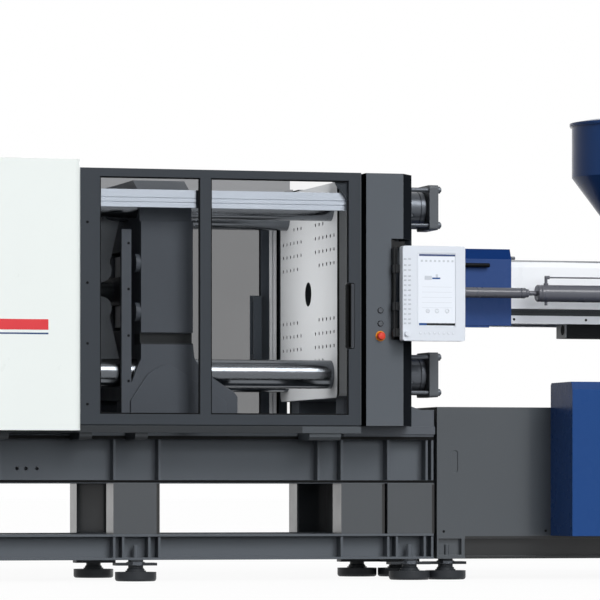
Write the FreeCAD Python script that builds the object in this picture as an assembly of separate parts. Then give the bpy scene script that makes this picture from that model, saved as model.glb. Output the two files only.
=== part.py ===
import FreeCAD, Part
import math
import os

os.makedirs("parts", exist_ok=True)

# Injection moulding machine with a double five-point toggle clamp.
# All sizes are millimetres. X runs from the clamp towards the injection unit, the operator
# stands at -Y, Z is up from the floor. X is laid out from the door's datum and the whole
# model is moved by middle_x at the end, so that its origin is the middle of the footprint.

# ---- driving dimensions ----
axis_z = 1470.0             # height of the machine's centre line
clamp_end_x = -2350.0       # outer end of the clamp covers
injection_end_x = 3050.0    # outer end of the injection base
middle_x = (clamp_end_x + injection_end_x) / 2.0

tie_offset = 426.0          # tie bar centre from the machine axis, sideways and up
tie_r = 72.5
running = 0.06              # radial running clearance of pins, rods and bushes

platen_half = 547.0         # half the width and height of all three platens
fixed_face_x = 251.0        # mould face of the fixed platen
fixed_back_x = 645.0
moving_face_x = -500.0      # mould face of the moving platen, mould open
moving_back_x = -767.0
locating_r = 62.5
mould_pitch = 70.0          # grid of the tapped mould fixing holes
mould_hole_r = 10.0
mould_hole_depth = 46.0

toggle_length = 323.4       # each toggle link, pin to pin
toggle_open_deg = 76.9      # link angle from the machine axis, mould open
toggle_pin_z = 410.0        # outer toggle pins above and below the machine axis
toggle_row_y = 210.0        # middle of each row of links
eye_r = 60.0
pin_r = 30.0
moving_pin_x = moving_back_x - 75.0
rear_pin_x = moving_pin_x - 2.0 * toggle_length * math.cos(math.radians(toggle_open_deg))
rear_front_x = rear_pin_x - 75.0
rear_back_x = rear_front_x - 280.0

crosshead_pin_z = 85.0
crosshead_x = rear_pin_x - 266.2
crosshead_link_length = 300.0
crosshead_arm = 194.0       # rear link's third pin, from the rear pin
crosshead_arm_deg = 12.0    # and its angle inwards from the link's own line

bed_top = 728.0
way_top = 800.0
beam_bottom = 491.0
lower_beam_top = 235.0
lower_beam_bottom = 106.0
bed_y = 505.0               # outer face of the bed's beams
beam_width = 160.0
plate_t = 12.0
bed_end_x = 776.0

door_y = 730.0              # outer face of the guard doors
door_t = 40.0
door_x0 = -1124.0
door_x1 = 326.0
door_z0 = 781.0
door_z1 = 2050.0
window_x0 = -1019.0
window_x1 = 261.0
window_z0 = 833.0
window_z1 = 2009.0
post_x0 = -508.0
post_x1 = -453.0

cover_y = 780.0             # outer face of the white clamp covers
cover_z0 = 750.0
cover_z1 = 2087.0
skin = 4.0

platen_cover_x0 = 351.0
platen_cover_x1 = 546.0
platen_cover_z0 = 779.0

base_x0 = 793.0
base_z0 = 223.0
base_z1 = 881.0
cabinet_x0 = 1404.0
cabinet_x1 = 3030.0
cabinet_y = 850.0
cabinet_z1 = 1006.0

guard_x0 = 654.0
guard_x1 = 1255.0
guard_y = 310.0
guard_rod_y = 216.0         # the guard slides on a rod behind the barrel
guard_rod_z = 1685.0
guard_rod_end = 1446.0
guide_y = 237.0             # injection guide beams from the middle plane
hopper_x = 2021.0
hopper_r = 312.0
hopper_rim_z = 2379.0
hopper_cone_z = 2106.0

panel_x0 = 497.0
panel_x1 = 839.0
panel_z0 = 1205.0
panel_z1 = 1682.0
panel_y = 838.0


# ---- helpers ----
def vec(x, y, z):
    return FreeCAD.Vector(x, y, z)


def block(x0, x1, y0, y1, z0, z1):
    """A block between two corners, whichever way round each pair is given."""
    low = vec(min(x0, x1), min(y0, y1), min(z0, z1))
    return Part.makeBox(abs(x1 - x0), abs(y1 - y0), abs(z1 - z0), low)


def rod_x(x0, x1, r, y=0.0, z=axis_z):
    return Part.makeCylinder(r, x1 - x0, vec(x0, y, z), vec(1, 0, 0))


def rod_y(x, z, r, y0, y1):
    return Part.makeCylinder(r, abs(y1 - y0), vec(x, min(y0, y1), z), vec(0, 1, 0))


def rod_z(x, y, r, z0, z1):
    return Part.makeCylinder(r, z1 - z0, vec(x, y, z0), vec(0, 0, 1))


def profile_xz(points, y0, y1):
    """An outline in X and Z, made as thick as the space from y0 to y1."""
    wire = Part.makePolygon([vec(x, y0, z) for x, z in points + points[:1]])
    return Part.Face(wire).extrude(vec(0, y1 - y0, 0))


def profile_yz(points, x0, x1):
    wire = Part.makePolygon([vec(x0, y, z) for y, z in points + points[:1]])
    return Part.Face(wire).extrude(vec(x1 - x0, 0, 0))


def profile_xy(points, z0, z1):
    wire = Part.makePolygon([vec(x, y, z0) for x, y in points + points[:1]])
    return Part.Face(wire).extrude(vec(0, 0, z1 - z0))


def turned_z(points, x, y):
    """A solid of revolution about a vertical axis, from (radius, height) points."""
    wire = Part.makePolygon([vec(x + r, y, z) for r, z in points + points[:1]])
    return Part.Face(wire).revolve(vec(x, y, 0), vec(0, 0, 1), 360)


def turned_x(points, y=0.0, z=axis_z):
    """A solid of revolution about the machine's direction, from (x, radius) points."""
    wire = Part.makePolygon([vec(x, y, z + r) for x, r in points + points[:1]])
    return Part.Face(wire).revolve(vec(0, y, z), vec(1, 0, 0), 360)


def join(shapes):
    shape = shapes[0]
    if len(shapes) > 1:
        shape = shape.fuse(shapes[1:])
    return shape.removeSplitter()


def cut(shape, tools):
    return shape.cut(tools).removeSplitter()


def mirror_y(shape):
    return shape.mirror(vec(0, 0, 0), vec(0, 1, 0))


def mirror_z(shape):
    """The same piece below the machine axis."""
    return shape.mirror(vec(0, 0, axis_z), vec(0, 0, 1))


def both_sides(shape):
    return [shape, mirror_y(shape)]


def rounded(shape, radius, test):
    """Rounds the edges that the test picks."""
    edges = [edge for edge in shape.Edges if test(edge)]
    return shape.makeFillet(radius, edges)


def along(edge, axis):
    """True where a straight edge runs along the named axis."""
    if edge.Curve.TypeId != "Part::GeomLine":
        return False
    direction = edge.Curve.Direction
    return abs(getattr(direction, axis)) > 0.999


def save(name, shapes):
    """Writes one node: one solid, or a group of separate like solids."""
    if not isinstance(shapes, list):
        shapes = [shapes]
    solids = []
    for shape in shapes:
        solids += shape.Solids
    group = solids[0].copy() if len(solids) == 1 else Part.makeCompound(solids)
    group.translate(vec(-middle_x, 0, 0))
    group.exportStep("parts/" + name + ".step")
    print(name, len(solids), "solids", [round(v) for v in (group.BoundBox.XMin, group.BoundBox.XMax,
          group.BoundBox.YMin, group.BoundBox.YMax, group.BoundBox.ZMin, group.BoundBox.ZMax)],
          "valid" if all(solid.isValid() for solid in solids) else "NOT VALID")


tie_places = [(y, z) for y in (-tie_offset, tie_offset)
              for z in (axis_z - tie_offset, axis_z + tie_offset)]
leg_spans = [(-2260.0, -2040.0), (-899.0, -677.0), (286.0, 501.0), (530.0, 766.0)]
rib_places = [-1780.0, -1480.0, -898.0, -666.0, 162.0, 284.0, 530.0, 734.0]
foot_places = [(-2150.0, -480.0), (-779.0, -480.0), (653.0, -480.0), (861.0, -430.0),
               (2850.0, -430.0)]


# ---- bed: side beams, legs, cross members, feet ----
def i_beam(x0, x1, z0, z1, flange, ribs):
    """A welded beam: two flanges, a web and stiffening ribs on both faces of the web."""
    y0 = -bed_y
    y1 = -bed_y + beam_width
    web_y = (y0 + y1) / 2.0
    pieces = [block(x0, x1, y0, y1, z0, z0 + flange),
              block(x0, x1, y0, y1, z1 - flange, z1),
              block(x0, x1, web_y - plate_t / 2, web_y + plate_t / 2, z0, z1)]
    for x in ribs:
        pieces.append(block(x, x + plate_t, y0 + 6, y1 - 6, z0, z1))
    return join(pieces)


upper_beam = i_beam(clamp_end_x + 60, bed_end_x, beam_bottom, bed_top, 16.0,
                    [clamp_end_x + 60] + rib_places + [bed_end_x - plate_t])
holes = [rod_y(x, 564, 9, -bed_y - 5, -bed_y + beam_width + 5) for x in (-1375, -1329, -1273)]
upper_beam = cut(upper_beam, holes)
way = block(-1600, 200, -bed_y, -bed_y + 65, bed_top, way_top)
upper_beam = join([upper_beam, way])
lower_ribs = [leg_spans[2][0] - 2]
for x0, x1 in (leg_spans[0], leg_spans[1], leg_spans[3]):
    lower_ribs += [x0, x0 + 46, x1 - 42, min(x1 + 10, bed_end_x - plate_t)]
lower_beam = i_beam(clamp_end_x + 60, bed_end_x, lower_beam_bottom, lower_beam_top, 12.0,
                    lower_ribs)
screw_ends = [rod_z(x, y, 13, lower_beam_bottom + 11, 180) for x, y in foot_places[:3]]
lower_beam = join([lower_beam] + screw_ends)
save("bed_beams", both_sides(upper_beam) + both_sides(lower_beam))

legs = []
for x0, x1 in leg_spans:
    leg = block(x0, x1, -bed_y, -bed_y + beam_width, lower_beam_top, beam_bottom)
    leg = leg.cut(block(x0 + plate_t, x1 - plate_t, -bed_y + plate_t, -bed_y + beam_width + 5,
                        lower_beam_top - 1, beam_bottom + 1))
    side_strip = block(x1 - 1, x1 + 22, -bed_y + 25, -bed_y + beam_width - 10, lower_beam_top,
                       beam_bottom)
    legs += both_sides(join([leg, side_strip]))
save("bed_legs", legs)

cross_members = []
web_face_y = bed_y - beam_width / 2.0 - plate_t / 2.0
rib_edge_y = bed_y - beam_width + 6.0
for x0, x1 in leg_spans:
    middle = (x0 + x1) / 2.0
    tube = block(middle - 70, middle + 70, -web_face_y, web_face_y, 540, 690)
    tube = tube.cut(block(middle - 60, middle + 60, -bed_y, bed_y, 550, 680))
    cross_members.append(tube)
for x, reach in ((-1480.0, rib_edge_y), (-250.0, web_face_y)):
    cross_members.append(block(x, x + plate_t, -reach, reach, 510, 700))
save("bed_cross_members", cross_members)


def levelling_foot(x, y):
    """A round pad with its washer and neck, and a thin spreader plate under the beam."""
    foot = turned_z([(0, 0), (94, 0), (101, 4), (104, 12), (104, 46), (52, 46), (52, 53), (45, 53),
                     (45, 60), (38, 66), (38, lower_beam_bottom), (0, lower_beam_bottom)], x, y)
    spreader = block(x - 105, x + 105, y - 24, y + 60, 78, 92)
    return join([foot, spreader])


feet = []
for x, y in foot_places:
    feet += both_sides(levelling_foot(x, y))
save("levelling_feet", feet)

# ---- injection base, cabinets, pedestal ----
base = block(base_x0, injection_end_x, -bed_y, bed_y, base_z0, base_z1)
runner = block(base_x0, injection_end_x, -bed_y, -bed_y + beam_width, lower_beam_bottom, base_z0)
runner = runner.cut(block(base_x0 - 1, injection_end_x + 1, -bed_y - 1, -bed_y + 40,
                          lower_beam_bottom + 14, base_z0 - 14))
bracket = block(base_x0, base_x0 + 148, -bed_y, -bed_y + 41, lower_beam_bottom + 10, base_z0)
bracket = bracket.cut(block(base_x0 + 8, base_x0 + 131, -bed_y - 1, -bed_y + 30,
                            lower_beam_bottom + 20, base_z0 - 7))
bracket = join([bracket, rod_z(853, -bed_y + 28, 12, lower_beam_bottom + 14, 178)])
recess = block(870, 905, -bed_y - 1, -bed_y + 6, 545, 660)
recess = rounded(recess, 16, lambda edge: along(edge, "y"))
base = join([base, runner, mirror_y(runner), bracket, mirror_y(bracket)])
base = cut(base, [recess])
save("injection_base", base)


def cabinet_shell(top):
    """A sheet cabinet beside the base, with its upper outer edge sloped."""
    slope = [(-bed_y, top - 12), (-bed_y, base_z0), (-cabinet_y, base_z0),
             (-cabinet_y, top - 40), (-cabinet_y + 16, top), (-bed_y - 12, top)]
    return profile_yz(slope, cabinet_x0, cabinet_x1)


door_cut = block(1558, 2240, -cabinet_y - 10, -cabinet_y + 22, 262, 952)
inner = block(1590, 2210, -cabinet_y - 10, -bed_y - 60, 300, 920)
hinge_sockets = [rod_z(1572, -841, 5 + running, z, z + 10) for z in (252, 952)]
save("front_cabinet", cut(cabinet_shell(cabinet_z1), [door_cut, inner] + hinge_sockets))
rear_vents = [block(1700 + 60 * i, 1730 + 60 * i, cabinet_y - 8, cabinet_y + 10, 380, 560)
              for i in range(10)]
save("rear_cabinet", cut(mirror_y(cabinet_shell(base_z1)), rear_vents))

cabinet_door = block(1563, 2237, -cabinet_y, -cabinet_y + 19, 265, 949)
cabinet_door = cabinet_door.cut(block(1566, 2234, -cabinet_y + 3, -cabinet_y + 25, 268, 946))
cabinet_door = cabinet_door.cut(block(1560, 1585, -cabinet_y + 16, -cabinet_y + 20, 260, 950))
hinge_bar = block(1563, 1584, -cabinet_y + 1, -cabinet_y + 17, 265, 949)
hinge_pins = [rod_z(1572, -841, 5, 254, 266), rod_z(1572, -841, 5, 948, 960)]
latch_cup = rod_y(2195, 610, 26, -cabinet_y + 1, -cabinet_y + 19)
cabinet_door = join([cabinet_door, latch_cup, hinge_bar] + hinge_pins)
cabinet_door = cut(cabinet_door, [rod_y(2195, 610, 21, -cabinet_y - 1, -cabinet_y + 10)])
latch_bar = block(2190, 2200, -cabinet_y + 1, -cabinet_y + 11, 592, 628)
save("front_cabinet_door", join([cabinet_door, latch_bar]))

pedestal = block(2060, 2960, -290, 290, base_z1, 1321)
pedestal = pedestal.cut(block(2160, 2860, -300, 300, base_z1 + 90, 1230))
pedestal = rounded(pedestal, 24, lambda edge: along(edge, "z") and edge.Length > 400)
save("injection_pedestal", pedestal)

# ---- fixed platen and tie bars ----
def mould_holes(face_x, inwards):
    """The grid of tapped fixing holes: the row height sets which columns it has."""
    tools = []
    rows = {140.0: range(1, 6), 210.0: range(0, 6), 280.0: range(0, 6), 350.0: range(0, 3)}
    for z, columns in rows.items():
        for column in columns:
            y = 140.0 + mould_pitch * column
            for side_y in (-y, y):
                for side_z in (-z, z):
                    tools.append(Part.makeCylinder(mould_hole_r, mould_hole_depth,
                                 vec(face_x, side_y, axis_z + side_z), vec(inwards, 0, 0)))
    return tools


fixed = block(fixed_face_x, fixed_back_x, -platen_half, platen_half,
              axis_z - platen_half, axis_z + platen_half)
fixed = rounded(fixed, 30, lambda edge: along(edge, "x"))
foot = profile_xz([(300, 930), (300, bed_top), (777, bed_top), (777, 865), (708, 865),
                   (fixed_back_x, 886), (fixed_back_x - 1, 930)], -bed_y, -bed_y + 150)
sole = block(290, 782, -bed_y - 3, -bed_y + 150, 740, 780)
foot = join([foot, sole]).cut(block(280, 790, -bed_y - 5, -bed_y + 6, bed_top, 740))
fixed = join([fixed, foot, mirror_y(foot)])
nozzle_well = turned_x([(fixed_face_x - 1, 0), (fixed_face_x - 1, locating_r),
                        (fixed_face_x + 60, locating_r), (fixed_face_x + 60, 100),
                        (fixed_back_x - 120, 170), (fixed_back_x + 1, 190),
                        (fixed_back_x + 1, 0)])
bores = [rod_x(fixed_face_x - 1, fixed_back_x + 1, tie_r + running, y, z) for y, z in tie_places]
fixed = cut(fixed, [nozzle_well] + bores + mould_holes(fixed_face_x, 1))
save("fixed_platen", fixed)

tie_bar_end = 735.0
tie_bars = []
for y, z in tie_places:
    tie_bars.append(turned_x([(-1660, 0), (-1660, tie_r - 4), (-1656, tie_r), (731, tie_r),
                              (tie_bar_end, tie_r - 4), (tie_bar_end, 0)], y, z))
save("tie_bars", tie_bars)

nuts = []
for y, z in tie_places:
    nut = turned_x([(fixed_back_x, tie_r + running), (fixed_back_x, 84), (706, 84), (706, 79),
                    (711, 79), (711, 84), (733, 84), (737, 80), (737, tie_r + running)], y, z)
    lock_hole = Part.makeCylinder(6, 20, vec(664, y - 90, z - 38), vec(0, 1, 0))
    nuts.append(cut(nut, [lock_hole]))
save("tie_bar_nuts", nuts)

plate_x0 = 743.0
plate_x1 = 790.0
plate_half = 114.0
stud_offset = 90.0
plates = []
studs = []
for y, z in tie_places:
    plate = block(plate_x0, plate_x1, y - plate_half, y + plate_half, z - plate_half, z + plate_half)
    plate = rounded(plate, 14, lambda edge: along(edge, "x"))
    stud_places = [(y + a, z + b) for a in (-stud_offset, stud_offset)
                   for b in (-stud_offset, stud_offset)]
    stud_holes = [rod_x(plate_x0 - 1, plate_x1 + 1, 11.1, a, b) for a, b in stud_places]
    ring = rod_x(plate_x0 - 1, plate_x1 + 1, 46, y, z)
    plates.append(cut(plate, stud_holes + [ring]))
    for a, b in stud_places:
        studs.append(turned_x([(fixed_back_x, 0), (fixed_back_x, 11), (plate_x1, 11),
                               (plate_x1, 18), (plate_x1 + 14, 18), (plate_x1 + 14, 11),
                               (plate_x1 + 20, 11), (plate_x1 + 20, 0)], a, b))
save("retaining_plates", plates)
save("retaining_studs", studs)

# ---- platen covers, door tracks, clamp covers ----
cover_plan = [(platen_cover_x0, -platen_half), (platen_cover_x0, -door_y),
              (platen_cover_x1, -door_y), (619, -631), (640, -platen_half)]
inner_plan = [(platen_cover_x0 + skin, -platen_half + 1), (platen_cover_x0 + skin, -door_y + skin),
              (platen_cover_x1 - 2, -door_y + skin), (614, -630), (634, -platen_half + 1)]
platen_cover = profile_xy(cover_plan, platen_cover_z0, door_z1)
platen_cover = platen_cover.cut(profile_xy(inner_plan, platen_cover_z0 - 1, door_z1 - skin))
hinge_niche = block(483, 660, -door_y - 1, -640, 1212, 1722)
front_cover = cut(platen_cover, [hinge_niche])
niche_wall = block(479, 483, -door_y + 2, -640, 1208, 1726)
niche_back = block(479, 610, -644, -640, 1208, 1726)
button_holes = [rod_y(426, z, 12.5, -door_y - 5, -door_y + 10) for z in (1360, 1294)]
stop_hole = rod_y(426, 1231, 10.4, -door_y - 5, -door_y + 10)
stop_ring = rod_y(426, 1231, 26, -door_y - 2, -door_y + 0.5).cut(rod_y(426, 1231, 13, -740, -700))
front_cover = join([front_cover, niche_wall, niche_back])
front_cover = cut(front_cover, button_holes + [stop_hole])
front_cover = join([front_cover, stop_ring])
save("front_platen_cover", front_cover)
save("rear_platen_cover", mirror_y(platen_cover))

track = block(-2280, door_x1, -door_y + 2, -door_y + door_t - 4, 741, 775)
track = track.cut(block(-2281, door_x1 + 1, -door_y + 14, -door_y + 24, 757, 776))
top_track = block(-2280, 300, -door_y + door_t + 4, -door_y + door_t + 30, 2016, 2046)
track_end = block(255, 300, -door_y + door_t + 4, -450, 2017, 2030)
top_track = join([top_track, track_end])
brackets = []
for x0, x1 in ((-1540, -1476), (-1120, -1056), (-837, -773), (59, 224)):
    bracket_plan = [(-bed_y, 707), (-bed_y, 751), (-door_y + 12, 751), (-door_y + 12, 722),
                    (-door_y + 30, 707)]
    brackets.append(profile_yz(bracket_plan, x0, x1))
lower_track = join([track] + brackets)
header = [block(door_x0, platen_cover_x0, door_y - 70, door_y, door_z1 + 4, door_z1 + 8),
          block(door_x0, platen_cover_x0, door_y - 4, door_y, door_z1 + 8, 2135),
          block(door_x0, platen_cover_x0, door_y - 70, door_y - 44, 2046, door_z1 + 4)]
rear_top_track = join([mirror_y(top_track)] + header)
save("door_tracks", both_sides(lower_track) + [top_track, rear_top_track])


def clamp_side_cover():
    """One folded side cover with a rounded edge beside the door."""
    plan = Part.Wire([
        Part.makeLine(vec(clamp_end_x, -cover_y, cover_z0), vec(door_x0 - 30, -cover_y, cover_z0)),
        Part.Arc(vec(door_x0 - 30, -cover_y, cover_z0), vec(door_x0 - 9, -cover_y + 9, cover_z0),
                 vec(door_x0, -cover_y + 30, cover_z0)).toShape(),
        Part.makeLine(vec(door_x0, -cover_y + 30, cover_z0), vec(door_x0, -cover_y + 42, cover_z0)),
        Part.makeLine(vec(door_x0, -cover_y + 42, cover_z0),
                      vec(door_x0 - skin, -cover_y + 42, cover_z0)),
        Part.makeLine(vec(door_x0 - skin, -cover_y + 42, cover_z0),
                      vec(door_x0 - skin, -cover_y + 30, cover_z0)),
        Part.Arc(vec(door_x0 - skin, -cover_y + 30, cover_z0),
                 vec(door_x0 - skin - 7.6, -cover_y + skin + 7.6, cover_z0),
                 vec(door_x0 - 30, -cover_y + skin, cover_z0)).toShape(),
        Part.makeLine(vec(door_x0 - 30, -cover_y + skin, cover_z0),
                      vec(clamp_end_x, -cover_y + skin, cover_z0)),
        Part.makeLine(vec(clamp_end_x, -cover_y + skin, cover_z0),
                      vec(clamp_end_x, -cover_y, cover_z0))])
    return Part.Face(plan).extrude(vec(0, 0, cover_z1 - cover_z0))


side_cover = clamp_side_cover()
save("front_clamp_cover", side_cover)
save("rear_clamp_cover", mirror_y(side_cover))
inside_y = cover_y - skin
end_plate = block(clamp_end_x, clamp_end_x + skin, -inside_y, inside_y, cover_z0, cover_z1)
end_vents = [block(clamp_end_x - 1, clamp_end_x + skin + 1, -400, 400, z, z + 24)
             for z in range(1000, 1400, 60)]
end_plate = cut(end_plate, end_vents)
top_plate = block(clamp_end_x + skin, door_x0 - 40, -inside_y, inside_y, cover_z1 - skin, cover_z1)
hangers = [block(x, x + 50, -door_y + door_t + 4, -door_y + door_t + 30, 2046, cover_z1 - skin)
           for x in (-2240, -1240)]
hangers += [mirror_y(hanger) for hanger in hangers]
top_plate = join([top_plate] + hangers)
sill = block(clamp_end_x + skin, -1640, -inside_y, -bed_y + 60, cover_z0, cover_z0 + skin)
sill_foot = block(clamp_end_x + 60, -1640, -bed_y + 2, -bed_y + 60, bed_top, cover_z0)
track_space = block(-2280, -1600, -door_y + 2, -door_y + door_t - 4, 741, 775)
sill = cut(join([sill, sill_foot]), [track_space])
save("clamp_end_cover", [end_plate, top_plate] + both_sides(sill))

# ---- injection guides, carriage rods and the guard's rod ----
beam = block(fixed_back_x, 2950, -guide_y, -guide_y + 60, 1321, 1363)
rail = block(fixed_back_x, 2950, -guide_y - 1, -guide_y + 44, 1363, 1397)
rail = cut(rail, [block(fixed_back_x - 1, 2951, -guide_y - 2, -guide_y + 6, 1374, 1386)])
save("injection_guide_beams", both_sides(beam))
save("injection_guide_rails", both_sides(rail))

cylinder_y = 435.0
rods = []
sleeve = turned_x([(fixed_back_x, 0), (fixed_back_x, 27), (1258, 27), (1262, 24), (1266, 27),
                   (1286, 27), (1294, 22), (1304, 22), (1310, 12.5), (1351, 12.5), (1812, 12.5),
                   (1812, 36), (1850, 36), (1850, 0)], -cylinder_y)
guard_rod = turned_x([(fixed_back_x, 0), (fixed_back_x, 17), (650, 17), (650, 9),
                      (guard_rod_end - 1, 9), (guard_rod_end, 8), (guard_rod_end, 0)],
                     guard_rod_y, guard_rod_z)
save("carriage_rods", both_sides(sleeve) + [guard_rod])


# ---- control panel arm on the platen cover ----
arm_post = block(484, 500, -722, -706, 1216, 1718)
hinge_lugs = []
for z in (1270, 1590):
    hinge_lugs.append(block(483.5, 505, -770, -700, z, z + 85))
hinge_pin = rod_z(490, -766, 7, 1225, 1680)
arm = join([arm_post] + hinge_lugs)
arm = join([arm, hinge_pin])
back_rail = block(483, 560, -706, -644, 1230, 1260)
back_rail_top = block(483, 560, -706, -644, 1680, 1710)
save("panel_arm", join([arm, back_rail, back_rail_top]))

# ---- doors ----
frame = block(door_x0, door_x1, -door_y, -door_y + door_t, door_z0, door_z1)
tongue = block(door_x0 + 12, door_x1 - 12, -door_y + 14.5, -door_y + 23.5, 757.4, door_z0)
frame = join([frame, tongue])
left_pane = block(window_x0, post_x0, -door_y - 1, -door_y + door_t + 1, window_z0, window_z1)
right_pane = block(post_x1, window_x1, -door_y - 1, -door_y + door_t + 1, window_z0, window_z1)
front_frame = cut(frame, [left_pane, right_pane])
handle_well = block(249, 292, -door_y - 1, -door_y + 26, 1164, 1497)
handle_well = rounded(handle_well, 12, lambda edge: along(edge, "y"))
gusset = profile_xz([(190, 2012), (203, 1984), (230, 1950), (258, 1912), (270, 1912), (270, 2012)],
                    -door_y + 22, -door_y + 30)
rail_joint = block(-520, -500, -door_y + door_t - 1, -door_y + door_t + 30, 1862, 1950)
front_frame = join([cut(front_frame, [handle_well]), gusset, rail_joint])
save("front_door_frame", front_frame)

right_glass = block(post_x1, window_x1, -door_y + 14, -door_y + 20, window_z0, window_z1)
right_glass = right_glass.cut(block(246, window_x1 + 1, -door_y + 13, -door_y + 21, 1161, 1500))
save("front_door_window",
     [block(window_x0, post_x0, -door_y + 14, -door_y + 20, window_z0, window_z1), right_glass])

grip = block(250, 290, -door_y + 1, -door_y + 26, 1168, 1493)
grip = rounded(grip, 9, lambda edge: along(edge, "y"))
finger_space = block(252.5, 270, -door_y, -door_y + 20, 1174, 1487)
save("front_door_handle", cut(grip, [finger_space]))


def door_rail(x0, x1):
    """The aluminium rail inside the door top, with two grooves in its face."""
    y0 = -door_y + door_t
    rail = block(x0, x1, y0, y0 + 34, 1862, 1950)
    grooves = [block(x0 - 1, x1 + 1, y0 - 1, y0 + 5, z, z + 5) for z in (1884, 1906)]
    slot = block(x0 - 1, x1 + 1, y0 + 20, y0 + 35, 1890, 1925)
    return cut(rail, grooves + [slot])


save("front_door_rail", [door_rail(-1050, -520), door_rail(-500, 266)])

rear_frame = mirror_y(frame)
rear_open = [block(window_x0, post_x0, door_y - door_t - 1, door_y + 1, window_z0, window_z1),
             block(post_x1, 181, door_y - door_t - 1, door_y + 1, window_z0, window_z1)]
rear_grip = block(128, 172, door_y - door_t - 52, door_y - door_t, 1151, 1486)
rear_grip = cut(rear_grip, [block(127, 173, door_y - door_t - 36, door_y - door_t - 8, 1180, 1460)])
rear_bar = block(post_x1 - 8, 181 + 8, door_y - door_t - 12, door_y - door_t, 1130, 1150)
rear_frame = join([cut(rear_frame, rear_open), rear_bar])
rear_frame = join([rear_frame, rear_grip.common(block(0, 181, 0, door_y, 1100, 1500))])
grip_base = block(120, 190, door_y - door_t - 8, door_y - door_t, 1145, 1492)
rear_frame = join([rear_frame, grip_base])
save("rear_door_frame", rear_frame)
save("rear_door_window",
     [block(window_x0, post_x0, door_y - 26, door_y - 20, window_z0, window_z1),
      block(post_x1, 181, door_y - 26, door_y - 20, window_z0, window_z1)])

# ---- moving platen ----
moving = block(moving_back_x, moving_face_x, -platen_half, platen_half,
               axis_z - platen_half, axis_z + platen_half)
for side in (-1, 1):
    corner = block(moving_back_x - 1, moving_face_x + 1, side * platen_half, side * (platen_half - 32),
                   axis_z + 332, axis_z + platen_half + 1)
    band = block(moving_back_x - 1, moving_face_x + 1, side * platen_half, side * (platen_half - 24),
                 axis_z - 278, axis_z - 225)
    slope = profile_yz([(side * 364, axis_z + platen_half + 1), (side * 549, axis_z + platen_half + 1),
                        (side * 549, axis_z + 454)], moving_back_x - 1, moving_face_x + 1)
    moving = moving.cut([corner, band, slope])
lugs = []
for side in (-1, 1):
    for y in (140.0, 250.0):
        lug = rod_y(moving_pin_x, axis_z + toggle_pin_z, eye_r, side * y, side * (y + 30))
        root = block(moving_pin_x, moving_back_x + 5, side * y, side * (y + 30),
                     axis_z + toggle_pin_z - eye_r, axis_z + toggle_pin_z + eye_r)
        lugs += [lug, root]
    pin = rod_y(moving_pin_x, axis_z + toggle_pin_z, pin_r, side * 132, side * 288)
    lugs.append(pin)
lugs = lugs + [mirror_z(lug) for lug in lugs]
bosses = []
for z in (axis_z - 122, axis_z + 122):
    for side in (-1, 1):
        boss = rod_x(moving_back_x - 24, moving_back_x, 47, side * 500, z)
        bosses.append(boss)
moving = join([moving] + lugs + bosses)
pocket = block(moving_back_x - 1, moving_back_x + 150, -120, 120, axis_z - 200, axis_z + 200)
ejector_places = [(0.0, 0.0), (0.0, 140.0), (0.0, -140.0)]
ejector_bores = [rod_x(moving_back_x, moving_face_x + 1, 15 + running, y, axis_z + z)
                 for y, z in ejector_places]
bores = [rod_x(moving_back_x - 1, moving_face_x + 1, tie_r + running, y, z) for y, z in tie_places]
moving = cut(moving, [pocket] + ejector_bores + bores + mould_holes(moving_face_x, -1))
save("moving_platen", moving)

carrier_outline = [(-867, 839), (-867, 1759), (-817, 1759), (-817, 991), (-788, 1066),
                   (-752, 1147), (-752, 1190), (-500, 1190), (-492, 1119), (-461, 1064),
                   (-396, 1019), (-282, 944), (-269, 924), (-269, 839)]
carrier_outer = platen_half
carrier = profile_xz(carrier_outline, -carrier_outer, -carrier_outer + 30)
arch = profile_xz([(-822, 839), (-822, 906), (-735, 1036), (-697, 1062), (-642, 1087),
                   (-611, 1077), (-467, 988), (-330, 900), (-330, 839)],
                  -carrier_outer - 12, -carrier_outer + 1)
shoe = block(-867, -269, -carrier_outer, -bed_y + 60, way_top + 0.4, 862)
carrier = carrier.cut(block(moving_back_x - 0.2, moving_face_x + 0.2, -platen_half - 1,
                            -platen_half + 40, axis_z - platen_half - 0.2, 1191))
carrier_wing = profile_xz([(moving_back_x - 100, 845), (moving_back_x - 100, 900),
                           (moving_face_x + 230, 900), (moving_face_x + 230, 845)],
                          -carrier_outer, -bed_y + 60)
carrier = join([carrier, arch, shoe, carrier_wing])
carrier = carrier.cut(block(moving_back_x - 0.2, moving_face_x + 0.2, -platen_half, 0,
                            axis_z - platen_half - 0.2, 1300))
save("platen_shoes", both_sides(carrier))

# ---- ejector ----
ejector_x = moving_back_x + 14
ejector = [block(ejector_x, ejector_x + 30, -100, 100, axis_z - 180, axis_z + 180)]
for y, z in ejector_places:
    ejector.append(rod_x(ejector_x + 29, moving_face_x - 4, 15, y, axis_z + z))
ejector.append(rod_x(ejector_x - 150, ejector_x + 1, 20))
save("ejector_plate", join(ejector))
bridge = block(moving_back_x - 20, moving_back_x, -160, 160, axis_z - 70, axis_z + 70)
ejector_barrel = rod_x(moving_back_x - 175, moving_back_x - 18, 50)
ejector_cylinder = join([bridge, ejector_barrel])
save("ejector_cylinder", cut(ejector_cylinder, [rod_x(moving_back_x - 160, moving_back_x + 2,
                                                      20 + running)]))

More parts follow.
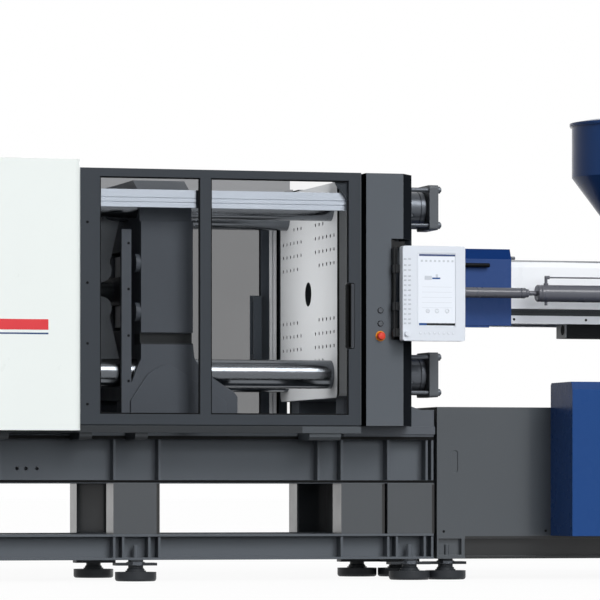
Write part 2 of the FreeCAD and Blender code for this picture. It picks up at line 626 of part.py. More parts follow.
# ---- rear platen, adjusting nuts, clamp cylinder ----
rear = block(rear_back_x, rear_front_x, -platen_half, platen_half,
             axis_z - platen_half, axis_z + platen_half)
rear = rounded(rear, 30, lambda edge: along(edge, "x"))
rear_lugs = []
for side in (-1, 1):
    lug = rod_y(rear_pin_x, axis_z + toggle_pin_z, eye_r, side * 173, side * 247)
    root = block(rear_front_x - 5, rear_pin_x, side * 173, side * 247,
                 axis_z + toggle_pin_z - eye_r, axis_z + toggle_pin_z + eye_r)
    pin = rod_y(rear_pin_x, axis_z + toggle_pin_z, pin_r, side * 132, side * 288)
    rear_lugs += [lug, root, pin]
rear_lugs = rear_lugs + [mirror_z(lug) for lug in rear_lugs]
rear_foot = block(rear_back_x, rear_front_x, -platen_half, -bed_y + 60, way_top + 0.4,
                  axis_z - platen_half + 40)
rear = join([rear] + rear_lugs + [rear_foot, mirror_y(rear_foot)])
window = block(rear_back_x - 1, rear_front_x + 1, -150, 150, axis_z - 250, axis_z + 250)
bores = [rod_x(rear_back_x - 1, rear_front_x + 1, tie_r + running, y, z) for y, z in tie_places]
rear = cut(rear, [window] + bores)
save("rear_platen", rear)

adjusters = []
for y, z in tie_places:
    nut = turned_x([(rear_back_x - 120, tie_r + running), (rear_back_x - 120, 104),
                    (rear_back_x - 100, 112), (rear_back_x - 60, 112), (rear_back_x - 60, 130),
                    (rear_back_x - 24, 130), (rear_back_x - 24, 112), (rear_back_x, 112),
                    (rear_back_x, tie_r + running)], y, z)
    adjusters.append(nut)
save("adjusting_nuts", adjusters)

flange = block(rear_back_x - 30, rear_back_x, -190, 190, axis_z - 290, axis_z + 290)
barrel_x0 = rear_back_x - 540
clamp_cylinder = join([flange, rod_x(barrel_x0, rear_back_x - 29, 88)])
clamp_cylinder = cut(clamp_cylinder, [rod_x(barrel_x0 + 20, rear_back_x - 60, 70 + running),
                                      rod_x(rear_back_x - 61, rear_back_x + 1, 35 + running)])
guide_rods = [rod_x(rear_back_x - 10, -820, 22, 0, axis_z + z) for z in (-135, 135)]
save("clamp_cylinder", join([clamp_cylinder] + guide_rods))


# ---- toggle links ----
def link_point(distance, degrees):
    """A point at a distance from the upper rear pin, at an angle below the machine's line."""
    a = math.radians(degrees)
    return (rear_pin_x + distance * math.cos(a), axis_z + toggle_pin_z - distance * math.sin(a))


knuckle = link_point(toggle_length, toggle_open_deg)
third = link_point(crosshead_arm, toggle_open_deg + crosshead_arm_deg)


def strap(start, end, half_width, y0, y1):
    """A straight bar between two points, as thick as the space from y0 to y1."""
    dx = end[0] - start[0]
    dz = end[1] - start[1]
    length = math.hypot(dx, dz)
    nx = -dz / length * half_width
    nz = dx / length * half_width
    return profile_xz([(start[0] + nx, start[1] + nz), (end[0] + nx, end[1] + nz),
                       (end[0] - nx, end[1] - nz), (start[0] - nx, start[1] - nz)], y0, y1)


def rear_link(side):
    """Two cheek plates round the rear platen's lug, joined by a web, with a third eye."""
    rear_pin = (rear_pin_x, axis_z + toggle_pin_z)
    pieces = []
    for y in (140.0, 250.0):
        y0 = side * y
        y1 = side * (y + 30)
        pieces += [rod_y(rear_pin[0], rear_pin[1], eye_r - 4, y0, y1),
                   rod_y(knuckle[0], knuckle[1], eye_r, y0, y1),
                   strap(rear_pin, knuckle, 46, y0, y1)]
    pieces += [rod_y(third[0], third[1], 40, side * 140, side * 170),
               strap(link_point(60, toggle_open_deg), third, 30, side * 140, side * 170),
               strap(third, link_point(260, toggle_open_deg), 24, side * 140, side * 170)]
    web_start = link_point(80, toggle_open_deg)
    web_end = link_point(116, toggle_open_deg)
    pieces.append(strap(web_start, web_end, 34, side * 169, side * 251))
    link = join(pieces)
    return cut(link, [rod_y(rear_pin[0], rear_pin[1], pin_r + running, side * 130, side * 290)])


def front_link(side):
    """One solid bar between the knuckle and the moving platen's lugs."""
    front_pin = (moving_pin_x, axis_z + toggle_pin_z)
    pieces = [rod_y(front_pin[0], front_pin[1], eye_r - 4, side * 173, side * 247),
              rod_y(knuckle[0], knuckle[1], eye_r, side * 173, side * 247),
              strap(front_pin, knuckle, 46, side * 173, side * 247)]
    link = join(pieces)
    return cut(link, [rod_y(front_pin[0], front_pin[1], pin_r + running, side * 160, side * 260)])


upper_rear = [rear_link(-1), rear_link(1)]
upper_front = [front_link(-1), front_link(1)]
save("upper_rear_links", upper_rear)
save("lower_rear_links", [mirror_z(link) for link in upper_rear])
save("upper_front_links", upper_front)
save("lower_front_links", [mirror_z(link) for link in upper_front])

# ---- crosshead ----
head = block(crosshead_x - 45, crosshead_x + 45, -95, 95, axis_z - 170, axis_z + 170)
head = rounded(head, 12, lambda edge: along(edge, "x"))
pins = [rod_y(crosshead_x, axis_z + z, 20, -138, 138) for z in (-crosshead_pin_z, crosshead_pin_z)]
piston_rod = turned_x([(barrel_x0 + 90, 0), (barrel_x0 + 90, 34), (barrel_x0 + 92, 35),
                       (crosshead_x, 35), (crosshead_x, 0)])
piston = rod_x(barrel_x0 + 40, barrel_x0 + 91, 70)
head = join([head, piston_rod, piston] + pins)
guides = [rod_x(crosshead_x - 50, crosshead_x + 50, 22 + running, 0, axis_z + z)
          for z in (-135, 135)]
save("crosshead", cut(head, guides))


def crosshead_link(side):
    start = (crosshead_x, axis_z + crosshead_pin_z)
    pieces = [rod_y(start[0], start[1], 38, side * 102, side * 136),
              rod_y(third[0], third[1], 38, side * 102, side * 136),
              strap(start, third, 27, side * 102, side * 136)]
    return cut(join(pieces), [rod_y(start[0], start[1], 20 + running, side * 96, side * 141)])


upper_links = [crosshead_link(-1), crosshead_link(1)]
save("upper_crosshead_links", upper_links)
save("lower_crosshead_links", [mirror_z(link) for link in upper_links])

# ---- injection unit ----
screw_r = 37.5
barrel_points = [(322, 6), (313, 10), (313, 20), (320, 30), (352, 34), (380, 34), (380, 62),
                 (405, 85)]
for i in range(7):
    x = 440.0 + 210.0 * i
    if x < 1780:
        barrel_points += [(x, 85), (x, 96), (x + 150, 96), (x + 150, 85)]
barrel_points += [(2200, 85), (2200, screw_r + running), (440, screw_r + running), (400, 6)]
barrel = turned_x(barrel_points)
feed = rod_z(hopper_x, 0, 34, axis_z + 20, axis_z + 100)
feed_block = block(1960, 2200, -150, 150, axis_z - 40, axis_z + 170)
feed_block = rounded(feed_block, 16, lambda edge: along(edge, "z"))
feed_block = feed_block.cut([rod_x(1900, 2300, 84), feed, rod_z(hopper_x, 0, 36, axis_z, 1700)])
barrel = join([barrel, feed_block])
barrel = cut(barrel, [feed])
save("barrel", barrel)

screw_points = [(420, 0), (440, 22), (480, 26), (480, 37.4)]
flights = 14
for i in range(flights):
    x = 520.0 + i * 110.0
    screw_points += [(x, 37.4), (x + 8, 26), (x + 84, 26), (x + 92, 37.4)]
screw_points += [(2080, 37.4), (2270, 37.4), (2270, 30), (2470, 30), (2470, 0)]
save("screw", turned_x(screw_points))

carriage = [block(1990, 2600, side * (guide_y - 62), side * (guide_y + 20), 1397.5, 1430)
            for side in (-1, 1)]
carriage.append(block(1990, 2190, -guide_y - 20, guide_y + 20, 1397.5, 1430))
carriage.append(block(2240, 2300, -guide_y - 20, guide_y + 20, 1397.5, axis_z + 190))
carriage.append(block(2850, 2900, -guide_y - 20, guide_y + 20, 1420, axis_z + 190))
for side in (-1, 1):
    carriage.append(rod_x(2290, 2860, 32, side * 170, axis_z + 120))
carriage = join(carriage)
carriage = cut(carriage, [rod_x(1980, 2200, 85.3), rod_x(2230, 2310, 40),
                          rod_x(2840, 2910, 110)])
save("injection_carriage", carriage)

drive = block(2400, 2600, -225, 225, axis_z - 36, axis_z + 190)
drive = rounded(drive, 16, lambda edge: along(edge, "x"))
motor = turned_x([(2599, 0), (2599, 105), (2760, 105), (2770, 90), (2920, 90), (2928, 80),
                  (2928, 0)])
drive = join([drive, motor])
drive = cut(drive, [rod_x(2390, 2475, 30 + running)]
            + [rod_x(2390, 2610, 32 + running, side * 170, axis_z + 120) for side in (-1, 1)])
save("injection_drive", drive)

cover_half = guide_y - 2
cover_section = [(-cover_half, 1409), (-cover_half, 1615), (-cover_half + 12, 1640),
                 (-cover_half + 40, 1652), (cover_half - 40, 1652), (cover_half - 12, 1640),
                 (cover_half, 1615), (cover_half, 1409)]
inside = [(y * 0.985, z - 5 if z > 1500 else z - 1) for y, z in cover_section]
barrel_cover = profile_yz(cover_section, 1258, 1960)
barrel_cover = cut(barrel_cover, [profile_yz(inside, 1250, 1954), rod_x(1950, 1970, 86)])
cover_rims = [block(1258, 1960, side * cover_half, side * (cover_half - 30), 1398, 1409)
              for side in (-1, 1)]
save("barrel_cover", join([barrel_cover] + cover_rims))

hopper = turned_z([(50, 1641), (60, 1641), (60, 1765), (hopper_r, hopper_cone_z),
                   (hopper_r, hopper_rim_z - 6), (hopper_r + 10, hopper_rim_z - 6),
                   (hopper_r + 10, hopper_rim_z), (hopper_r - 4, hopper_rim_z),
                   (hopper_r - 4, hopper_cone_z + 1), (56, 1767), (36, 1750), (36, 1641)],
                  hopper_x, 0)
throat_flange = block(hopper_x - 60, hopper_x + 60, -90, 90, 1640, 1654)
gate_slot = block(hopper_x - 62, hopper_x + 62, -100, 100, 1680, 1690.2)
gate_body = block(hopper_x - 68, hopper_x + 68, -92, 92, 1668, 1702)
lid_knuckle = block(hopper_x - 26, hopper_x + 26, hopper_r - 2, hopper_r + 32,
                    hopper_rim_z - 20, hopper_rim_z - 1)
lid_knuckle = join([lid_knuckle, rod_x(hopper_x - 26, hopper_x + 26, 11, hopper_r + 20,
                                       hopper_rim_z + 2)])
lid_knuckle = cut(lid_knuckle, [rod_x(hopper_x - 30, hopper_x + 30, 5 + running, hopper_r + 20,
                                      hopper_rim_z + 2),
                                rod_z(hopper_x, 0, hopper_r - 1, 2350, 2400)])
hopper = join([hopper, throat_flange, gate_body, lid_knuckle])
hopper = cut(hopper, [rod_z(hopper_x, 0, 36, 1630, 1750), gate_slot])
save("hopper", hopper)

gate = block(hopper_x - 60, hopper_x + 60, -215, 92, 1680.4, 1689.8)
gate = cut(gate, [rod_z(hopper_x, -120 + 0, 36, 1670, 1700)])
gate_grip = block(hopper_x - 40, hopper_x + 40, -235, -214, 1672, 1698)
save("hopper_gate", join([gate, gate_grip]))

lid = turned_z([(0, hopper_rim_z + 34), (hopper_r - 60, hopper_rim_z + 26),
                (hopper_r + 12, hopper_rim_z + 12), (hopper_r + 12, hopper_rim_z + 0.4),
                (0, hopper_rim_z + 0.4)], hopper_x, 0)
lid_grip = rounded(block(hopper_x - 60, hopper_x + 60, -260, -240, hopper_rim_z + 20,
                         hopper_rim_z + 54), 8, lambda edge: along(edge, "y"))
lid_relief = block(hopper_x - 28, hopper_x + 28, hopper_r + 6, hopper_r + 40,
                   hopper_rim_z - 20, hopper_rim_z + 14)
lid_pin = rod_x(hopper_x - 52, hopper_x + 52, 5, hopper_r + 20, hopper_rim_z + 2)
lid_ears = []
for x in (hopper_x - 52, hopper_x + 28):
    ear = rod_x(x, x + 24, 11, hopper_r + 20, hopper_rim_z + 2)
    lid_ears.append(ear)
    lid_ears.append(block(x, x + 24, hopper_r - 40, hopper_r + 20, hopper_rim_z + 6,
                          hopper_rim_z + 12))
lid = cut(lid, [lid_relief])
save("hopper_lid", join([lid, lid_grip, lid_pin] + lid_ears))

# ---- purge guard ----
guard_section = [(-guard_y, 1306), (-guard_y, 1649), (-guard_y + 26, 1703), (243, 1703),
                 (243, 1500), (240, 1500), (240, 1700), (-guard_y + 28, 1700),
                 (-guard_y + 3, 1648), (-guard_y + 3, 1306)]
guard = profile_yz(guard_section, guard_x0, guard_x1)
end_section = [(-guard_y, 1306), (-guard_y, 1649), (-guard_y + 26, 1703), (243, 1703),
               (243, 1657), (-242, 1657), (-242, 1306)]
guard_ends = [profile_yz(end_section, guard_x1 - 3, guard_x1),
              profile_yz(end_section, guard_x0, guard_x0 + 3)]
bushes = [block(x, x + 44, guard_rod_y - 15, 241, guard_rod_z - 15, 1701)
          for x in (guard_x0, guard_x1 - 44)]
grip_rod = rod_x(960, 1128, 11, -guard_y - 26, 1616)
grip_posts = [rod_y(x, 1616, 8, -guard_y - 26, -guard_y + 2) for x in (975, 1110)]
lower_bracket = block(1000, 1136, -guard_y + 3, -guard_y + 18, 1296, 1312)
guard = join([guard] + guard_ends + bushes + [grip_rod, lower_bracket] + grip_posts)
save("purge_guard", cut(guard, [rod_x(guard_x0 - 1, guard_x1 + 1, 9 + running, guard_rod_y,
                                      guard_rod_z)]))

# ---- carriage cylinders ----
def carriage_cylinder():
    """One cylinder with its fittings, a pipe along its top and the bracket that carries it."""
    tube = turned_x([(1351, 12.5 + running), (1351, 40), (1356, 44), (1366, 44), (1368, 41),
                     (1374, 44), (1870, 44), (1890, 44), (1890, 36 + running),
                     (1400, 36 + running), (1396, 12.5 + running)], -cylinder_y)
    cap = rod_x(1889, 1925, 44, -cylinder_y)
    port = rod_z(1402, -cylinder_y, 8, axis_z + 42, axis_z + 84)
    collar = rod_z(1402, -cylinder_y, 12, axis_z + 42, axis_z + 52)
    elbow = rod_x(1396, 1420, 9, -cylinder_y, axis_z + 82)
    pipe = rod_x(1419, 1990, 4, -cylinder_y, axis_z + 82)
    lower_port = rod_z(1402, -cylinder_y, 8, axis_z - 62, axis_z - 42)
    bracket = block(1925, 1990, -cylinder_y - 44, -guide_y - 20.0, axis_z - 44, axis_z + 90)
    tongue = block(1990, 2060, -guide_y - 60, -guide_y - 20, 1400, 1500)
    arm_block = block(1925, 2060, -guide_y - 60, -guide_y - 20, 1426, 1500)
    return join([tube, cap, port, collar, elbow, pipe, lower_port, bracket, tongue, arm_block])


save("carriage_cylinders", both_sides(carriage_cylinder()))

cable_box = block(1526, 2050, -guide_y + 5, guide_y - 5, 1248, 1321)
cable_box = cable_box.cut(block(1560, 2051, -guide_y + 15, guide_y - 15, 1258, 1310))
oval = rounded(block(1520, 1565, -216, -186, 1262, 1306), 14, lambda edge: along(edge, "x"))
save("cable_box", cut(cable_box, [oval]))

# ---- control panel and its controls ----
panel = block(panel_x0 + 14, panel_x1, -panel_y, -panel_y + 56, panel_z0, panel_z1)
panel = rounded(panel, 12, lambda edge: along(edge, "y"))
hinge_eyes = []
for z in (1228, 1360, 1680 - 128 - 4):
    hinge_eyes.append(rod_z(490, -766, 13, z, z + 40).fuse(
        block(490, panel_x0 + 30, -790, -772, z, z + 40)))
screen_well = block(590, 787, -panel_y - 1, -panel_y + 3, 1277, 1645)
knob_hole = rod_y(534, 1241, 5.1, -panel_y - 1, -panel_y + 20)
panel = join([panel] + hinge_eyes)
panel = cut(panel, [screen_well, knob_hole, rod_z(490, -766, 7 + running, 1200, 1700)])
save("control_panel", panel)
knob = rod_y(534, 1241, 13, -panel_y - 12, -panel_y - 0.4).fuse(
    rod_y(534, 1241, 5, -panel_y - 0.4, -panel_y + 19))
save("panel_knob", knob.removeSplitter())

stop_head = turned_z([(0, 0), (10, 0), (10, 18), (20, 18), (20, 30), (16, 36), (0, 38)], 0, 0)
stop_head.rotate(vec(0, 0, 0), vec(1, 0, 0), 90)
stop_head.translate(vec(426, -door_y + 9, 1231))
save("emergency_stop", stop_head)
for name, z in (("start_button", 1360), ("stop_button", 1294)):
    cap = rod_y(426, z, 12, -door_y - 5, -door_y + 9)
    save(name, cap)
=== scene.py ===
import math

import bmesh
import bpy
from mathutils import Matrix, Vector


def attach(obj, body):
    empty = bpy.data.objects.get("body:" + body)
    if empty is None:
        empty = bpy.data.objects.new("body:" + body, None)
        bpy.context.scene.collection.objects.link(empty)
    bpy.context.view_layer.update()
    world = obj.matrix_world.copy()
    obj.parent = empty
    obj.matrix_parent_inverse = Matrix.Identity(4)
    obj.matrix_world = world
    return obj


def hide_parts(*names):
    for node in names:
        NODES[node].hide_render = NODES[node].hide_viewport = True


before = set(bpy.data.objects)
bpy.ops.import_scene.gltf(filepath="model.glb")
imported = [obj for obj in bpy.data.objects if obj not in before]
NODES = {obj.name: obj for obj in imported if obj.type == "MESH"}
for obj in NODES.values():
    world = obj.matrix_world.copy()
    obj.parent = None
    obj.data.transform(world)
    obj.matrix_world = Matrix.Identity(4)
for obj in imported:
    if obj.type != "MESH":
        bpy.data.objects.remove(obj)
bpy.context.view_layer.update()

bl_info = {
    "name": "Injection moulding machine",
    "version": (1, 0, 0),
    "blender": (4, 5, 0),
    "location": "View3D > Sidebar > Machine",
    "description": "Finishes, small pieces and studio for an injection moulding machine",
    "category": "Object",
}

MATERIALS = {}

# Places are in millimetres from the door's datum, and Blender's values in metres.
MM = 0.001
SHIFT_X = -0.35                                 # from the datum to the middle of the footprint

# doors: the panes' ends along the machine, and how far they reach up
LEFT_PANE = (-1019, -508)
FRONT_RIGHT_PANE = (-453, 261)
REAR_RIGHT_PANE = (-453, 181)
PANE_HEIGHT = (833, 2009)
HANDLE_SIDE_SEALS = [(833, 1162), (1499, 1912)]  # below and above the handle, to the gusset
FRONT_SEAL_Y = (-722, -716)
REAR_SEAL_Y = (698, 704)
DOOR_HEIGHT = (783, 2048)

GUARD_FACE = -730.0                             # front door's and front platen cover's face
BUTTON_X = 426
PUSH_BUTTON_HEIGHTS = (1360, 1294)
STOP_HEIGHT = 1231                              # middle of the emergency stop
PANEL_FACE = -838.0
SCREEN_FACE = -836.2
KEY_COLUMNS = (524, 547)
KEY_ROWS = (1616, 1585, 1560, 1530, 1509, 1484, 1460, 1433, 1411, 1389, 1365, 1340, 1314, 1293)
STRIPE_ENDS = (-2340, -1290)
STRIPE_FOOT = 1244
# levelling feet: their place along the machine, and how far they stand out on each side
FOOT_PLACES = [(-2150, 480), (-779, 480), (653, 480), (861, 430), (2850, 430)]
TO_FRONT = (math.radians(90.0), 0.0, 0.0)       # a head that points to -Y

# rounding that the shader gives to painted edges and to bare ones, in metres, and its samples
PAINT_EDGE = 0.003
METAL_EDGE = 0.002
EDGE_SAMPLES = 4

# camera, fitted to the fixed platen's mould fixing holes and to straight edges of the machine
PHOTO_SIDE = 600.0                              # pixels
FOCAL_LENGTH = 4443.0                           # pixels
HORIZON_BELOW_MIDDLE = 193.35                   # pixels; the upper part of a level view
SENSOR_WIDTH = 36.0                             # millimetres
CAMERA_PLACE = (-6.241, -22.170, 0.440)
CAMERA_TURN = math.radians(15.38)


# ---- small helpers ----
def tone(code):
    """A hex sRGB colour as linear values."""
    values = []
    for i in (1, 3, 5):
        c = int(code[i:i + 2], 16) / 255.0
        values.append(c / 12.92 if c <= 0.04045 else ((c + 0.055) / 1.055) ** 2.4)
    return (*values, 1.0)


def scaled(color, factor):
    """A linear colour made lighter or darker."""
    return (*[min(1.0, c * factor) for c in color[:3]], 1.0)


def at(x, y, z):
    """A place in millimetres from the door's datum, in metres in the model's frame."""
    return Vector((x * MM + SHIFT_X, y * MM, z * MM))


def per_mm(size):
    """The noise scale whose grains are about this many millimetres wide."""
    return 1.0 / (size * MM)


def add(tree, kind, inputs=None, **settings):
    """Adds a node with its settings; an input takes a value, a socket or a list of sockets."""
    node = tree.nodes.new(kind)
    for key, value in settings.items():
        setattr(node, key, value)
    for key, value in (inputs or {}).items():
        for part in value if isinstance(value, list) else [value]:
            if isinstance(part, bpy.types.NodeSocket):
                tree.links.new(part, node.inputs[key])
            else:
                node.inputs[key].default_value = part
    return node


def empty_material(name):
    """A new material and its empty node tree."""
    material = bpy.data.materials.new(name)
    material.use_nodes = True
    material.node_tree.nodes.clear()
    return material, material.node_tree


# ---- finishes ----
def edge_wear_and_highlight_tint(tree, paint, wear_and_highlight_tone, share):
    """The paint's colour with its sharp edges lightened, partly for wear and partly as a painted
    highlight.
    """
    surface = add(tree, "ShaderNodeNewGeometry")
    round_edge = add(tree, "ShaderNodeBevel", {"Radius": PAINT_EDGE * 1.6}, samples=EDGE_SAMPLES)
    turn = add(tree, "ShaderNodeVectorMath",
               {0: surface.outputs["Normal"], 1: round_edge.outputs["Normal"]},
               operation="DOT_PRODUCT")
    wear_and_highlight_mask = add(tree, "ShaderNodeMapRange",
              {"Value": turn.outputs["Value"], "From Min": 0.995, "From Max": 0.8,
               "To Min": 0.0, "To Max": share})
    return add(tree, "ShaderNodeMix", {"Factor": wear_and_highlight_mask.outputs["Result"], "A": paint, "B": wear_and_highlight_tone},
               data_type="RGBA").outputs["Result"]


def enamel(name, color, roughness=0.42, peel=0.1, peel_mm=1.6, drift=0.05, edge_wear_and_highlight=0.3, coat=0.0,
           spec=0.3, base=None):
    """Sprayed enamel: orange peel in the gloss, a faint drift of tone, edges lightened for wear
    and as a painted highlight.
    """
    material, tree = empty_material(name)
    where = add(tree, "ShaderNodeTexCoord").outputs["Object"]
    clouds = add(tree, "ShaderNodeTexNoise", {"Vector": where, "Scale": 2.2, "Detail": 4.0})
    paint = add(tree, "ShaderNodeMix", {"Factor": clouds.outputs["Fac"],
                                        "A": scaled(color, 1.0 - drift),
                                        "B": scaled(color, 1.0 + drift)}, data_type="RGBA")
    paint = paint.outputs["Result"]
    if base is not None:
        paint = base(tree, where, paint)
    # lightened edges: partly wear, partly a painted highlight along them
    if edge_wear_and_highlight > 0.0:
        wear_and_highlight_tone = (*[min(1.0, c * 1.9 + 0.03) for c in color[:3]], 1.0)
        paint = edge_wear_and_highlight_tint(tree, paint, wear_and_highlight_tone, edge_wear_and_highlight)
    patches = add(tree, "ShaderNodeTexNoise", {"Vector": where, "Scale": 9.0, "Detail": 3.0})
    gloss = add(tree, "ShaderNodeMapRange",
                {"Value": patches.outputs["Fac"], "From Min": 0.3, "From Max": 0.7,
                 "To Min": roughness - 0.05, "To Max": roughness + 0.05})
    grain = add(tree, "ShaderNodeTexNoise",
                {"Vector": where, "Scale": per_mm(peel_mm), "Detail": 2.0})
    round_edge = add(tree, "ShaderNodeBevel", {"Radius": PAINT_EDGE}, samples=EDGE_SAMPLES)
    bump = add(tree, "ShaderNodeBump",
               {"Strength": peel, "Distance": 0.0004, "Height": grain.outputs["Fac"],
                "Normal": round_edge.outputs["Normal"]})
    shader = add(tree, "ShaderNodeBsdfPrincipled",
                 {"Base Color": paint, "Roughness": gloss.outputs["Result"],
                  "Specular IOR Level": spec, "Coat Weight": coat, "Coat Roughness": 0.1,
                  "Normal": bump.outputs["Normal"]})
    add(tree, "ShaderNodeOutputMaterial", {"Surface": shader.outputs["BSDF"]})
    return material


def metal(name, color, roughness, lines=(1.0, 1.0, 1.0), line_mm=3.0, texture=0.05, drift=0.05,
          metallic=1.0, base=None):
    """Bare metal with a fine grain in its tone and gloss.

    The grain is about line_mm wide. Where lines packs it closer along an axis, it becomes the
    lines of the last machining pass, a few tenths of a millimetre apart or less. Elsewhere it
    is drawn coarser than the real one, so that it shows.
    """
    material, tree = empty_material(name)
    where = add(tree, "ShaderNodeTexCoord").outputs["Object"]
    drawn = add(tree, "ShaderNodeMapping", {"Vector": where, "Scale": lines}).outputs["Vector"]
    clouds = add(tree, "ShaderNodeTexNoise",
                 {"Vector": drawn, "Scale": per_mm(line_mm * 3.0), "Detail": 4.0})
    tint = add(tree, "ShaderNodeMix", {"Factor": clouds.outputs["Fac"],
                                       "A": scaled(color, 1.0 - drift),
                                       "B": scaled(color, 1.0 + drift)}, data_type="RGBA")
    tint = tint.outputs["Result"]
    if base is not None:
        tint = base(tree, where, tint)
    lay = add(tree, "ShaderNodeTexNoise",
              {"Vector": drawn, "Scale": per_mm(line_mm * 2.0), "Detail": 3.0})
    gloss = add(tree, "ShaderNodeMapRange",
                {"Value": lay.outputs["Fac"], "From Min": 0.3, "From Max": 0.7,
                 "To Min": roughness * 0.85, "To Max": roughness * 1.15})
    fine = add(tree, "ShaderNodeTexNoise",
               {"Vector": drawn, "Scale": per_mm(line_mm), "Detail": 2.0})
    round_edge = add(tree, "ShaderNodeBevel", {"Radius": METAL_EDGE}, samples=EDGE_SAMPLES)
    bump = add(tree, "ShaderNodeBump",
               {"Strength": texture, "Distance": 0.0003, "Height": fine.outputs["Fac"],
                "Normal": round_edge.outputs["Normal"]})
    shader = add(tree, "ShaderNodeBsdfPrincipled",
                 {"Base Color": tint, "Metallic": metallic, "Roughness": gloss.outputs["Result"],
                  "Normal": bump.outputs["Normal"]})
    add(tree, "ShaderNodeOutputMaterial", {"Surface": shader.outputs["BSDF"]})
    return material


def sheet(name, color, see_through):
    """Clear plastic sheet: light goes straight through, and the flat face shines at an angle."""
    material, tree = empty_material(name)
    flat = add(tree, "ShaderNodeNewGeometry").outputs["True Normal"]
    where = add(tree, "ShaderNodeTexCoord").outputs["Object"]
    haze = add(tree, "ShaderNodeTexNoise", {"Vector": where, "Scale": 3.0, "Detail": 2.0})
    # light crosses two faces, so each lets the square root through
    through = (*[math.sqrt(see_through * c) for c in color[:3]], 1.0)
    film = add(tree, "ShaderNodeMix", {"Factor": haze.outputs["Fac"], "A": scaled(through, 0.98),
                                       "B": through}, data_type="RGBA")
    clear = add(tree, "ShaderNodeBsdfTransparent", {"Color": film.outputs["Result"]})
    shine = add(tree, "ShaderNodeBsdfGlossy",
                {"Color": (1.0, 1.0, 1.0, 1.0), "Roughness": 0.0, "Normal": flat})
    angle = add(tree, "ShaderNodeLayerWeight", {"Blend": 0.5, "Normal": flat})
    # straight on the sheet mirrors next to nothing, and from about 45 degrees on it shines
    share = add(tree, "ShaderNodeMapRange", {"Value": angle.outputs["Facing"], "From Min": 0.3,
                                             "From Max": 1.0, "To Min": 0.0, "To Max": 0.6})
    mix = add(tree, "ShaderNodeMixShader", {0: share.outputs["Result"],
                                            1: clear.outputs["BSDF"],
                                            2: shine.outputs["BSDF"]})
    add(tree, "ShaderNodeOutputMaterial", {"Surface": mix.outputs["Shader"]})
    return material


def patch(color, x=(None, None), y=(None, None), z=(None, None)):
    """A change of colour between limits in millimetres, for a node that has two finishes."""
    def apply(tree, where, paint):
        axes = add(tree, "ShaderNodeSeparateXYZ", {"Vector": where}).outputs
        mask = 1.0
        for axis, shift, limits in zip(axes, (SHIFT_X, 0.0, 0.0), (x, y, z)):
            for limit, operation in zip(limits, ("GREATER_THAN", "LESS_THAN")):
                if limit is None:
                    continue
                test = add(tree, "ShaderNodeMath", {0: axis, 1: limit * MM + shift},
                           operation=operation)
                mask = add(tree, "ShaderNodeMath", {0: mask, 1: test.outputs["Value"]},
                           operation="MULTIPLY").outputs["Value"]
        return add(tree, "ShaderNodeMix", {"Factor": mask, "A": paint, "B": color},
                   data_type="RGBA").outputs["Result"]
    return apply


def in_turn(*changes):
    """Several changes of colour, one over the other."""
    def apply(tree, where, paint):
        for change in changes:
            paint = change(tree, where, paint)
        return paint
    return apply


# near black, used only where shade is painted
PAINTED_SHADE_BLACK = tone("#040506")


def frame_enamels(look):
    """Satin grey enamel of the welded frame, with its peel drawn coarser than the real 1 mm."""
    MATERIALS["bed"] = enamel("bed_enamel", look.bed, 0.4, 0.12, coat=0.5)
    # painted shade: the front upper beam's flange edges, top and bottom, are painted black for
    # the shadow under the door track and the shadow line along the lower flange
    MATERIALS["beam"] = enamel(
        "beam_enamel", look.beam, 0.4, 0.12, edge_wear_and_highlight=0.0, spec=0.1,
        base=in_turn(patch(PAINTED_SHADE_BLACK, y=(None, -504), z=(712.5, 728.5)),
                     patch(PAINTED_SHADE_BLACK, y=(None, -504), z=(493.5, 506.5))))
    # painted shadow: black strips beside the legs' front plates stand in for the shade of the
    # recesses there
    painted_shadow_strips = [patch(PAINTED_SHADE_BLACK, x, (None, -400), (222, 485))
             for x in ((506.0, 527.2), (766.5, 793.1), (-675.1, -651.9))]
    MATERIALS["leg"] = enamel("leg_enamel", scaled(look.bed, 0.8), 0.4, 0.12, edge_wear_and_highlight=0.2,
                              coat=0.7, base=in_turn(*painted_shadow_strips))
    # painted shade: the injection base's recessed runner is painted darker for the shade that
    # lies in it
    MATERIALS["base"] = enamel("base_enamel", look.bed, 0.4, 0.12, coat=0.4,
                               base=patch(tone("#121416"), x=(943, None), z=(None, 221.5)))
    # the lower front track is darker along most of its length, and the upper rear one is pale
    MATERIALS["track"] = enamel(
        "track_enamel", look.bed, 0.45, 0.1, edge_wear_and_highlight=0.25,
        base=in_turn(patch(tone("#1E2226"), (None, 20), (None, -500), (None, 1000)),
                     patch(tone("#8B8C8E"), y=(500, None), z=(2000, None))))


